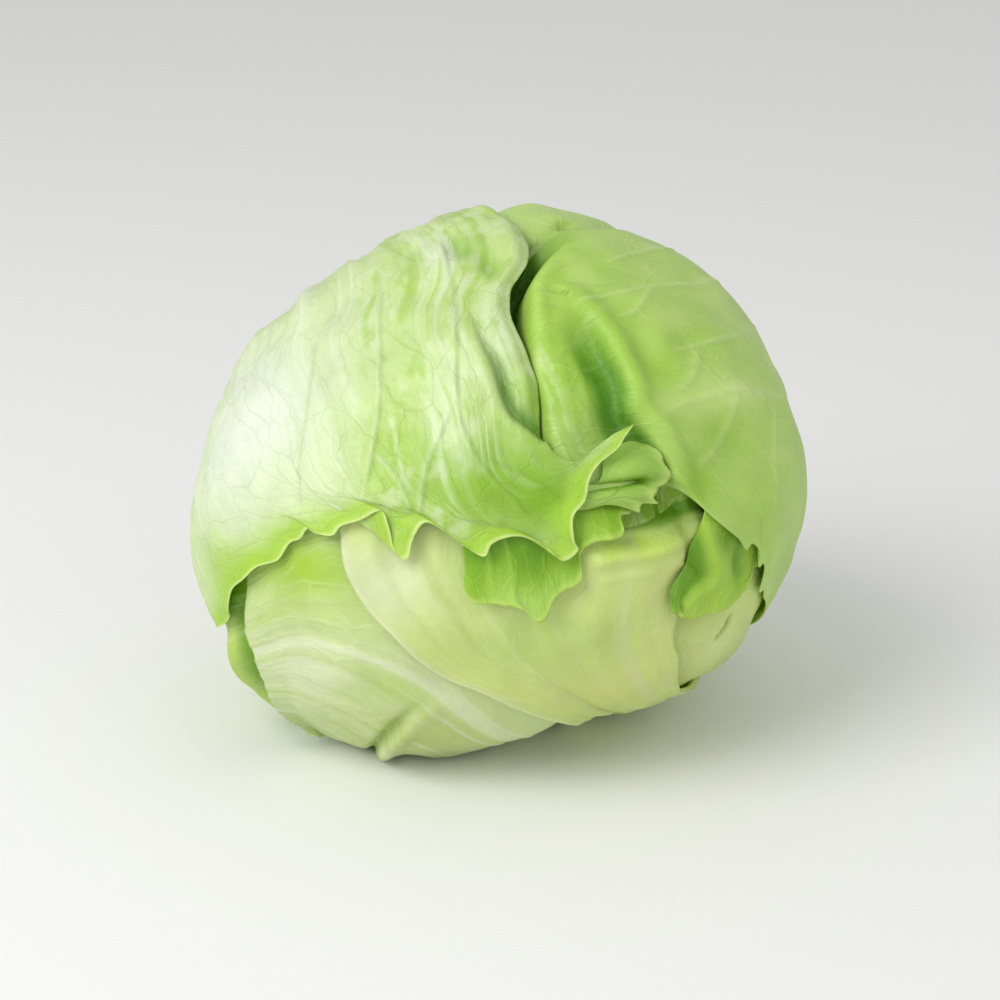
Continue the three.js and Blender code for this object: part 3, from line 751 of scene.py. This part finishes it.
# ---- right under-leaf: a green flap hanging below the right wrapper, folded over itself ----
flapFold = [(22.6, -9), (24.2, -15.3), (24.8, -18.5), (25.2, -21.6), (23.9, -23.1), (21.4, -24.1),
            (19, -26.5)]


def flapPleat(p, q):
    # a hollow 2.5 deep left of the fold
    s, t = alongLine(flapFold, p, q)
    return 2.5 * hump(s + 2.6, 2.4) * smooth(1 - t, 0.05, 0.4) * smooth(t, 0.0, 0.15)


def flapRise(p, q, u, v):
    # a fold that stands up at its line and dies away to its right, a hollow and a swelling
    s, t = alongLine(flapFold, p, q)
    fold = 1.6 * smooth(s, -0.5, 1.2) * np.exp(-np.maximum(s, 0) / 9)
    return fold - 1.6 * blob(p, q, 33, -21, 2.2, 4) + 1.0 * blob(p, q, 37, -25, 3, 4)


def flapTint(p, q, u, v):
    # light green, painted shade left of the fold and under the right wrapper, a pale rim
    tint = np.zeros(p.shape + (3,)) + linear(172, 214, 70)
    s, t = alongLine(flapFold, p, q)
    # painted shade on the fold's left side
    tint = mixTo(tint, linear(112, 172, 8), 0.95 * smooth(-s, -0.4, 1.4) * smooth(v, 0.6, 0.8))
    shadows = 0.9 * blob(p, q, 33, -20, 2.4, 4.5) + 0.8 * blob(p, q, 29, -15, 3, 2.6)
    tint = mixTo(tint, linear(108, 166, 14), shadows)
    return mixTo(tint, linear(184, 220, 96), 0.6 * smooth(v, 0.985, 1.0))


leaves["right_under_leaf"] = dict(
    foot=(-14, 40), lies=1.8, thick=0.8, slot="crown_green", seed=67, grid=(170, 200), ragged=0.06,
    tipSmoothing=0.08,
    first=[(110, -36), (72, -34), (50, -22), (42, -20)],
    tip=[(38.2, -22), (36, -24.2), (33.6, -26.6), (32, -27.9), (29.5, -28.9), (26.6, -29.3), (23.8, -29.6),
         (21.1, -29.8), (18.1, -29), (15.8, -27.8)],
    last=[(80, 60), (48, 24), (30, 2), (24.5, -8), (22.9, -13.4), (20.7, -17.2), (18.2, -20.2),
          (15.8, -23.4)],
    ribs=[(0.55, 0.5, 0.016, 1.0, 0.0), (0.35, 0.35, 0.012, 1.0, 0.0), (0.75, 0.35, 0.012, 1.0, 0.0)],
    ribColour=linear(180, 214, 104), ribShade=0.9, wander=(0.5, 0.5), streaks=0.15, ruffle=0.5,
    roll=0.3, rollBand=0.03, rise=flapRise, tint=flapTint, pleat=flapPleat, netStrength=0.22,
    netScale=8.0,
)

# ---- lower pale leaf: a creamy leaf wrapping up from below, its top edge folded to a ridge ----
ridgeLine = [(-4, -19.5), (-1, -16.6), (4, -15.4), (11.6, -15.2), (18, -14.4), (24, -13.4)]


def paleRise(p, q, u, v):
    # a ridge along its line, falling away behind it, a second crease, a raised left edge
    s, t = alongLine(ridgeLine, p, q)
    onSide = smooth(t, 0.0, 0.3) * smooth(p, -6, 0)
    ridge = 2.6 * hump(s, 1.7) * smooth(p, -6, 0) - 2.6 * smooth(s, 0.5, 5.0) * onSide
    second = 1.0 * hump(s - 3.6, 0.9) * onSide + 0.6 * hump(s + 4.2, 1.2) * onSide
    edge = 0.7 * smooth(0.05 - u, 0.0, 0.05)
    return ridge + second + edge - 0.5 * blob(p, q, -18, -30, 9, 9) + 0.30 * noise(u * 18, v * 2, 71)


palePatches = [
    (-40, -18, 12, 9, (224, 234, 186), 0.9), (-26, -16, 6, 7, (204, 226, 138), 0.6),
    (-14, -32, 10, 8, (192, 222, 120), 0.7), (0, -30, 10, 8, (198, 224, 120), 0.6),
    (-18, -46, 22, 6, (220, 234, 140), 0.7), (8, -46, 16, 8, (216, 228, 128), 0.7),
    (8, -14, 14, 2.6, (196, 228, 84), 0.85), (16, -28, 6, 12, (224, 236, 152), 0.6),
    # the last patch, dark green at (17, -8.4), is painted shade in the valley behind the ridge
    (-4, -20, 5, 4, (216, 234, 146), 0.7), (17, -8.4, 11, 3.4, (104, 164, 8), 0.97),
]


def paleTint(p, q, u, v):
    # cream patches, soft fans along the leaf, painted shade in the valley behind the ridge, a pale edge
    tint = paint((212, 228, 136), palePatches, p, q)
    tint = mixTo(tint, linear(222, 230, 174), 0.5 * smooth(noise(u * 26, v * 3, 73), 0.25, 0.9))
    tint = mixTo(tint, linear(180, 208, 106), 0.4 * smooth(noise(u * 20, v * 3.4, 75), 0.25, 0.9))
    s, t = alongLine(ridgeLine, p, q)
    # painted shade: dark green in the valley behind the ridge
    tint = mixTo(tint, linear(104, 164, 8), 0.95 * smooth(s, 3.0, 5.5) * smooth(p, -4, 6))
    return mixTo(tint, linear(232, 240, 196), 0.7 * smooth(u, 0.03, 0.0))


leaves["lower_pale_leaf"] = dict(
    foot=(274, 326), lies=2.0, thick=1.1, slot="leaf_cream", seed=79, grid=(200, 200), ragged=0.06,
    first=[(22, -120), (12, -84), (4, -63), (-1.6, -57), (-7.8, -53), (-13.4, -49.3), (-22, -43.5),
           (-29, -39.8), (-34.8, -34.8), (-40, -28), (-44, -23), (-47, -17), (-49, -11)],
    tip=[(-50, -3), (-30, 2), (-14, -4), (-4, -8), (3, -6), (10, -4.6), (20, -4), (27, -8)],
    last=[(100, -76), (60, -66), (36, -58), (26, -50), (21, -40), (19, -32)],
    ribs=[(0.5, 1.2, 0.030, 0.45, 0.0), (0.34, 0.22, 0.012, 0.9, 0.05), (0.20, 0.2, 0.010, 0.95, 0.04),
          (0.66, 0.22, 0.012, 0.7, -0.05), (0.08, 0.18, 0.008, 0.95, 0.02), (0.8, 0.18, 0.010, 0.7, -0.05),
          (0.27, 0.18, 0.008, 0.9, 0.05), (0.42, 0.18, 0.008, 0.8, 0.03)],
    ribColour=linear(230, 236, 196), ribShade=0.9, wander=(0.6, 0.3), streaks=0.18, ruffle=0.4,
    roll=0.0, rollBand=0.02, rise=paleRise, tint=paleTint, netStrength=0.10, netScale=4.5,
    roughness=0.40,
)


# ---- lower right leaf: the next leaf in, seen past the pale leaf's right edge ----
slitLine = [(30.5, -39), (33, -35.5), (35, -31.5)]


def plainRise(p, q, u, v):
    # soft fans along the leaf
    return 0.4 * noise(u * 12, v * 2, 83)


def lowerRightRise(p, q, u, v):
    # soft fans, with a slit along its line
    s, t = alongLine(slitLine, p, q)
    return plainRise(p, q, u, v) - 1.6 * hump(s, 0.5) * smooth(t, 0.0, 0.3) * smooth(1 - t, 0.0, 0.3)


lowerRightPatches = [(34, -40, 9, 9, (222, 235, 164), 0.7), (44, -30, 9, 8, (210, 234, 136), 0.8)]


def lowerRightTint(p, q, u, v):
    # two paler patches and painted shade down the slit
    tint = paint((202, 218, 122), lowerRightPatches, p, q)
    s, t = alongLine(slitLine, p, q)
    # painted shade along the slit
    slitShade = hump(s, 0.5) * smooth(t, 0.0, 0.3) * smooth(1 - t, 0.0, 0.3)
    return mixTo(tint, linear(110, 142, 40), 0.9 * slitShade)


leaves["lower_right_leaf"] = dict(
    foot=(296, 346), lies=1.8, thick=1.0, slot="leaf_cream", seed=83, grid=(190, 190),
    first=[(60, -108), (36, -86)],
    tip=[(16, -60), (12, -44), (14, -28), (24, -14)],
    last=[(112, -18), (70, -8), (44, -2)],
    ribs=[(0.5, 1.1, 0.02, 0.6, 0.0), (0.3, 0.5, 0.012, 0.7, 0.05), (0.7, 0.5, 0.012, 0.7, -0.05)],
    ribColour=linear(222, 230, 180), ribShade=0.9, wander=(0.6, 0.4), streaks=0.2, ruffle=0.4,
    roll=0.0, rise=lowerRightRise, tint=lowerRightTint, netStrength=0.15,
)

# ---- lower left leaf: pale, fan-ribbed, its margin standing at the left, folded underneath ----
underFold = [(-27, -44), (-33.4, -47.7), (-39, -54), (-45, -66), (-48, -80), (-46, -95)]


def lowerLeftRise(p, q, u, v):
    # a fold with a groove beside it underneath, fans along the leaf, the margin standing up
    s, t = alongLine(underFold, p, q)
    fold = (2.6 * hump(s - 2.6, 2.4) - 1.8 * hump(s + 1.0, 1.4)) * smooth(t, 0.05, 0.35)
    fans = 0.26 * noise(u * 24, v * 2.2, 91) + 0.12 * noise(u * 60, v * 4, 92)
    return fold + fans * smooth(v, 0.3, 0.7) - 0.6 * blob(p, q, -45, -42, 7, 5) + 1.6 * smooth(v, 0.94, 1.0)


lowerLeftPatches = [
    (-58, -14, 16, 9, (168, 208, 44), 0.95), (-56, -26, 14, 6, (200, 224, 124), 0.7),
    (-60, -40, 12, 12, (228, 238, 196), 0.85), (-44, -44, 9, 4, (180, 208, 92), 0.5),
    (-32, -60, 14, 9, (196, 211, 116), 0.8), (-52, -64, 12, 10, (212, 228, 150), 0.6),
]


def lowerLeftTint(p, q, u, v):
    # the patches, green and pale streaks along the leaf, a shaded fold
    tint = paint((212, 230, 160), lowerLeftPatches, p, q)
    tint = mixTo(tint, linear(190, 214, 112), 0.45 * smooth(noise(u * 44, v * 4, 93), 0.15, 0.9))
    pale = smooth(noise(u * 52, v * 3, 94), 0.2, 0.9) * smooth(-q, 22, 34)
    tint = mixTo(tint, linear(238, 244, 214), 0.50 * pale)
    s, t = alongLine(underFold, p, q)
    return mixTo(tint, linear(160, 192, 70), 0.8 * hump(s + 0.8, 1.3) * smooth(t, 0.05, 0.4))


leaves["lower_left_leaf"] = dict(
    foot=(250, 304), lies=2.0, thick=1.0, slot="leaf_white", seed=97, grid=(200, 200), ragged=0.08,
    first=[(-60, -116), (-58, -90)],
    tip=[(-63, -71), (-68, -67), (-72.5, -61), (-72, -50), (-72, -40), (-73.5, -32), (-75, -26), (-74, -10)],
    last=[(104, -92), (52, -66), (16, -30), (-20, -2), (-52, 4)],
    ribs=[(0.5, 0.9, 0.02, 0.65, 0.0), (0.36, 0.4, 0.009, 0.95, 0.04), (0.64, 0.4, 0.009, 0.95, -0.04),
          (0.25, 0.35, 0.008, 0.95, 0.05), (0.75, 0.35, 0.008, 0.95, -0.05), (0.43, 0.3, 0.006, 0.95, 0.02),
          (0.57, 0.3, 0.006, 0.95, -0.02), (0.85, 0.3, 0.006, 0.95, -0.03)],
    ribColour=linear(238, 243, 212), ribShade=0.8, wander=(0.7, 0.5), streaks=0.2, ruffle=0.35,
    roll=0.3, rollBand=0.03, rise=lowerLeftRise, tint=lowerLeftTint, netStrength=0.12,
    roughness=0.38,
)


# ---- left under-leaf: its bright rim stands off the lower left leaf, with a gap between painted in shade ----
gapLine = [(-80, -22), (-77.5, -34), (-76.5, -42), (-76.5, -50), (-75, -60), (-68, -70)]


def leftUnderPleat(p, q):
    # a narrow valley, 7 deep, along the lower left leaf's margin
    s, t = alongLine(gapLine, p, q)
    return 7.0 * hump(s + 0.5, 3.2) * smooth(t, 0.0, 0.12) * smooth(1 - t, 0.0, 0.12)


def leftUnderRise(p, q, u, v):
    # soft fans, and a rim standing up left of the valley
    s, t = alongLine(gapLine, p, q)
    return plainRise(p, q, u, v) + 3.0 * hump(s + 9.0, 3.6) * smooth(t, 0.0, 0.15) * smooth(1 - t, 0.0, 0.15)


def leftUnderTint(p, q, u, v):
    # pale, a bright rim and painted shade in the valley
    tint = np.zeros(p.shape + (3,)) + linear(196, 222, 128)
    s, t = alongLine(gapLine, p, q)
    tint = mixTo(tint, linear(186, 222, 74), 0.85 * hump(s + 9.0, 4.0))
    # painted shade: dark green in the valley
    return mixTo(tint, linear(130, 188, 4), 0.97 * smooth(s, -6.5, -3.5) * smooth(10 - s, 0, 4))


leaves["left_under_leaf"] = dict(
    foot=(164, 248), lies=1.8, thick=0.9, slot="wrapper_pale", seed=101, grid=(190, 200),
    first=[(-138, 34), (-112, 30)],
    tip=[(-62, 4), (-60, -20), (-60, -40), (-56, -66)],
    last=[(-72, -118), (-60, -92)],
    ribs=[(0.5, 1.0, 0.02, 0.6, 0.0), (0.3, 0.5, 0.012, 0.6, 0.05), (0.7, 0.5, 0.012, 0.6, -0.05),
          (0.2, 0.4, 0.01, 0.6, 0.05), (0.82, 0.4, 0.01, 0.6, -0.05)],
    ribColour=linear(226, 236, 186), ribShade=0.9, wander=(0.7, 0.5), streaks=0.25, ruffle=0.6,
    roll=0.2, rollBand=0.03, rise=leftUnderRise, tint=leftUnderTint, pleat=leftUnderPleat,
    netStrength=0.2,
)


# ---- top back leaf: seen along the top behind the right wrapper's edge, and over the back ----
def topBackRise(p, q, u, v):
    # two hollows beside the right wrapper's edge and a swelling behind them
    hollows = -2.2 * blob(p, q, 6, 61.3, 4, 1.2) - 2.0 * blob(p, q, 15, 63.5, 2.2, 1.2)
    return hollows + 0.6 * blob(p, q, 4, 68, 8, 3)


# painted shade: dark green over the two hollows
topBackHollowShades = [(6, 61.3, 6, 2, (148, 190, 36), 0.8), (15, 63.5, 3, 2, (148, 190, 36), 0.7)]


def topBackTint(p, q, u, v):
    # painted shade in the two hollows, and pale clouds
    tint = paint((184, 217, 118), topBackHollowShades, p, q)
    return mixTo(tint, linear(206, 229, 152), 0.5 * smooth(noise(p / 14, q / 14, 107), -0.2, 0.7))


leaves["top_back_leaf"] = dict(
    foot=(40, 116), lies=1.8, thick=0.9, slot="wrapper_green", seed=109, grid=(200, 190),
    first=[(96, 84), (70, 60)],
    tip=[(48, 38), (20, 26), (0, 26), (-22, 36)],
    last=[(-54, 118), (-52, 84), (-42, 58)],
    ribs=[(0.5, 1.2, 0.022, 0.7, 0.0), (0.36, 0.6, 0.012, 0.7, 0.04), (0.64, 0.6, 0.012, 0.7, -0.04),
          (0.24, 0.5, 0.01, 0.7, 0.05), (0.76, 0.5, 0.01, 0.7, -0.05), (0.88, 0.4, 0.009, 0.7, -0.04),
          (0.12, 0.4, 0.009, 0.7, 0.04)],
    ribColour=linear(214, 232, 166), ribShade=0.9, wander=(0.8, 0.6), streaks=0.25, ruffle=0.6,
    roll=0.0, rise=topBackRise, tint=topBackTint, netStrength=0.25,
)


# ---- two young leaves round the heart, seen only in the gaps ----
def innerTint(p, q, u, v):
    # green, paling towards the stem
    tint = np.zeros(p.shape + (3,)) + linear(150, 196, 56)
    return mixTo(tint, linear(214, 228, 150), smooth(np.hypot(p, q), 95, 140))


for innerName, innerEdges in (
    ("inner_upper_leaf", dict(
        foot=(30, 150), first=[(122, 36), (84, 24), (52, 12)],
        tip=[(36, 0), (14, -10), (-8, -12), (-30, -6)],
        last=[(-120, 40), (-80, 24), (-48, 8)], seed=113)),
    ("inner_lower_leaf", dict(
        foot=(215, 325), first=[(-118, -48), (-86, -32), (-56, -24)],
        tip=[(-34, -18), (-8, -22), (14, -20), (38, -14)],
        last=[(118, -44), (84, -34), (56, -24)], seed=127)),
):
    leaves[innerName] = dict(
        innerEdges, lies=1.8, thick=0.8, slot="leaf_inner", grid=(140, 140),
        ribs=[(0.5, 0.9, 0.018, 0.95, 0.0), (0.3, 0.5, 0.012, 0.95, 0.05), (0.7, 0.5, 0.012, 0.95, -0.05)],
        ribColour=linear(226, 234, 180), ribShade=0.9, wander=(0.5, 0.4), streaks=0.2, ruffle=0.5,
        roll=0.0, rise=plainRise, tint=innerTint, netStrength=0.3)

leafOrder = list(leaves)
covers = {name: coverOf(leaf) for name, leaf in leaves.items()}
coverAbove = {}
for order, name in enumerate(leafOrder):
    above = [covers[other] for other in leafOrder[:order]]
    coverAbove[name] = np.minimum.reduce(above) if above else np.full(mapP.shape, 90.0)
print("outlines laid out on the crown map")
for order, name in enumerate(leafOrder):
    buildLeaf(name, order)

# ---- the heart: young leaves packed into one body, with the core's socket at the back ----
heart = dict(around=180, rings=110, boreRings=14, mouth=167.0, clearance=1.0, relief=0.8, lastLeafDepth=1.8)
core = dict(radius=14.0, tipRadius=7.0, stub=1.0, reach=52.0, around=96, gap=0.4, wobble=0.012)


def closeTube(name, rings, tint, closeFirst, closeLast):
    # a tube of rings, each end closed by a fan of triangles to a point
    count, around = rings.shape[:2]
    points = np.concatenate([rings.reshape(-1, 3), closeFirst[None], closeLast[None]])
    i = np.arange(around)
    after = (i + 1) % around
    ring = np.arange(count - 1)[:, None] * around
    a, b = (ring + i[None]).ravel(), (ring + after[None]).ravel()
    sides = np.stack([a, b, b + around, a + around], 1)
    first, last, base = len(points) - 2, len(points) - 1, (count - 1) * around
    firstFan = np.stack([np.full(around, first), after, i], 1)
    lastFan = np.stack([np.full(around, last), base + i, base + after], 1)
    colours = np.concatenate([tint.reshape(-1, 3), tint[0].mean(0)[None], tint[-1].mean(0)[None]])
    return meshFrom(name, points, [sides, np.concatenate([firstFan, lastFan])], colours)


def buildHeart():
    # rings out from the crown under every leaf, a little uneven, then back in along the socket's bore
    t = np.linspace(0.0, 1.0, heart["rings"])[:, None]
    a = np.linspace(0, 360, heart["around"], endpoint=False)[None]
    fromCrown = 2.0 + (heart["mouth"] - 2.0) * t + 0 * a
    p, q = fromCrown * np.cos(np.radians(a)), fromCrown * np.sin(np.radians(a))
    relief = heart["relief"] * noise(a / 16 + 0 * t, t * 3, 131)
    relief = relief * smooth(t, 0.0, 0.3) * hump((a - 180) / 180, 0.8)
    under = depthUnder(len(leafOrder) - 1, p, q) + heart["lastLeafDepth"] + heart["clearance"]
    skin = pointsAt(directions(p, q), under - relief)
    faceAt = centre - crownAxis * stemFace
    mouthIn = ((skin[-1] - faceAt) @ crownAxis).mean() + 3.0
    down = np.linspace(0.0, 1.0, heart["boreRings"])[:, None, None]
    tall = mouthIn + (core["reach"] + core["gap"] - mouthIn) * down
    wide = core["radius"] + (core["tipRadius"] - core["radius"]) * smooth(down, 0.2, 1.0) + core["gap"] + 0.4
    spin = np.radians(a)[..., None]
    bore = faceAt + crownAxis * tall + wide * (rightAxis * np.cos(spin) + upAxis * np.sin(spin))
    rings = np.concatenate([skin, bore])
    tint = np.zeros(rings.shape) + linear(206, 222, 140)
    atCrown = pointsAt(crownAxis[None], depthUnder(len(leafOrder) - 1, np.zeros(1), np.zeros(1)) + 3.0)[0]
    atBore = faceAt + crownAxis * (core["reach"] + core["gap"] + 1.0)
    piece = closeTube("heart_body", rings, tint, atCrown, atBore)
    piece.data.materials.append(fleshMaterial("heart_flesh", 0.45, 180.0))
    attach(piece, "root")
    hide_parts("heart")
    print("heart", len(piece.data.vertices), "points")


def buildStem():
    # a turned profile (radius, height from the cut face), its cut face faintly ringed and dished
    profile = [(0.6, 0.35), (4, 0.3), (8, 0.1), (11, 0.0), (12.6, 0.05), (13.4, 0.5), (13.9, 1.4), (14, 3),
               (14, 10), (13.6, 20), (11, 34), (8, 46), (4.6, 50.6), (1.0, 51.9)]
    line = splineThrough(profile, np.linspace(0, 1, 90))
    spin = np.radians(np.linspace(0, 360, core["around"], endpoint=False))
    radius = line[:, :1] * (1 + core["wobble"] * np.sin(5 * spin)[None] * smooth(line[:, :1], 4, 14))
    radius = np.minimum(radius, core["radius"] + 0.1)
    faceAt = centre - crownAxis * stemFace
    rings = faceAt + crownAxis * line[:, 1, None, None] + radius[..., None] * (
        rightAxis * np.cos(spin)[None, :, None] + upAxis * np.sin(spin)[None, :, None])
    tint = np.zeros(rings.shape) + linear(226, 216, 178)
    onFace = smooth(3.0 - line[:, 1], 0.0, 2.0)[:, None] * np.ones(len(spin))
    tint = mixTo(tint, linear(186, 150, 96), onFace * (0.35 + 0.5 * smooth(line[:, :1], 9, 13.6)))
    tint = mixTo(tint, linear(206, 190, 140), onFace * 0.6 * hump(line[:, :1] - 7, 1.4))
    piece = closeTube("stem_butt", rings[:, ::-1], tint[:, ::-1], faceAt + crownAxis * 0.35,
                      faceAt + crownAxis * core["reach"])
    piece.data.materials.append(fleshMaterial("stem_flesh_cut", 0.6, 600.0))
    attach(piece, "root")
    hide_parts("stem_core")
    print("stem", len(piece.data.vertices), "points")


def fleshMaterial(name, roughness, grainScale):
    # the painted tint under a fine grain that also stands a little proud
    material = bpy.data.materials.new(name)
    material.use_nodes = True
    tree = material.node_tree
    link = tree.links.new
    skin = tree.nodes["Principled BSDF"]
    tint = node(tree, "ShaderNodeAttribute", attribute_name="tint")
    place = node(tree, "ShaderNodeTexCoord")
    grain = node(tree, "ShaderNodeTexNoise", Scale=grainScale, Detail=5.0, Roughness=0.6)
    link(place.outputs["Object"], grain.inputs["Vector"])
    shade = mapRange(tree, grain.outputs["Fac"], (0.0, 1.0), (0.82, 1.12))
    link(shaded(tree, tint.outputs["Color"], shade), skin.inputs["Base Color"])
    bump = node(tree, "ShaderNodeBump", Strength=0.6, Distance=0.0005)
    link(grain.outputs["Fac"], bump.inputs["Height"])
    link(bump.outputs["Normal"], skin.inputs["Normal"])
    skin.inputs["Roughness"].default_value = roughness
    skin.inputs["Subsurface Weight"].default_value = 0.15
    skin.inputs["Subsurface Scale"].default_value = 0.002
    return material


stemFace = float(headRadius(-crownAxis[None])[0]) + core["stub"]
buildHeart()
buildStem()

# ---- floor, light and camera ----
studio = dict(floorSize=3.0, floorColour=(0.86, 0.86, 0.85), keyPower=11.0, keySize=0.9, fillPower=2.0,
              fillSize=1.4, sky=0.62)
view = dict(elevation=20.0, distance=0.765, lens=100.0, aimHeight=0.0610)

floorMesh = bpy.data.meshes.new("studio_floor")
half = studio["floorSize"] / 2
floorCorners = [(-half, -half, 0), (half, -half, 0), (half, half, 0), (-half, half, 0)]
floorMesh.from_pydata(floorCorners, [], [(0, 1, 2, 3)])
floor = bpy.data.objects.new("studio_floor", floorMesh)
bpy.context.scene.collection.objects.link(floor)
floorMaterial = bpy.data.materials.new("studio_floor")
floorMaterial.use_nodes = True
floorSkin = floorMaterial.node_tree.nodes["Principled BSDF"]
floorSkin.inputs["Base Color"].default_value = (*studio["floorColour"], 1.0)
floorSkin.inputs["Roughness"].default_value = 0.8
floorMesh.materials.append(floorMaterial)


def areaLight(name, place, power, size):
    # a square lamp aimed at the middle of the head
    lamp = bpy.data.lights.new(name, "AREA")
    lamp.energy = power
    lamp.size = size
    made = bpy.data.objects.new(name, lamp)
    bpy.context.scene.collection.objects.link(made)
    aim = np.array([0.0, 0.0, 0.07]) - np.array(place)
    made.location = place
    down = math.acos(-aim[2] / np.linalg.norm(aim))
    made.rotation_euler = (down, 0.0, math.atan2(aim[1], aim[0]) - math.pi / 2)


areaLight("key_light", (-0.75, -0.65, 0.95), studio["keyPower"], studio["keySize"])
areaLight("fill_light", (0.9, -0.9, 0.55), studio["fillPower"], studio["fillSize"])
world = bpy.data.worlds.new("studio")
world.use_nodes = True
world.node_tree.nodes["Background"].inputs["Color"].default_value = (1.0, 1.0, 1.0, 1.0)
world.node_tree.nodes["Background"].inputs["Strength"].default_value = studio["sky"]
bpy.context.scene.world = world
bpy.context.scene.view_settings.view_transform = "Standard"

lens = bpy.data.cameras.new("camera")
lens.lens = view["lens"]
lens.clip_start = 0.01
camera = bpy.data.objects.new("camera", lens)
bpy.context.scene.collection.objects.link(camera)
tilt = math.radians(view["elevation"])
reach = view["distance"]
camera.location = (0.0, -reach * math.cos(tilt), view["aimHeight"] + reach * math.sin(tilt))
camera.rotation_euler = (math.pi / 2 - tilt, 0.0, 0.0)
bpy.context.scene.camera = camera
print("studio ready")
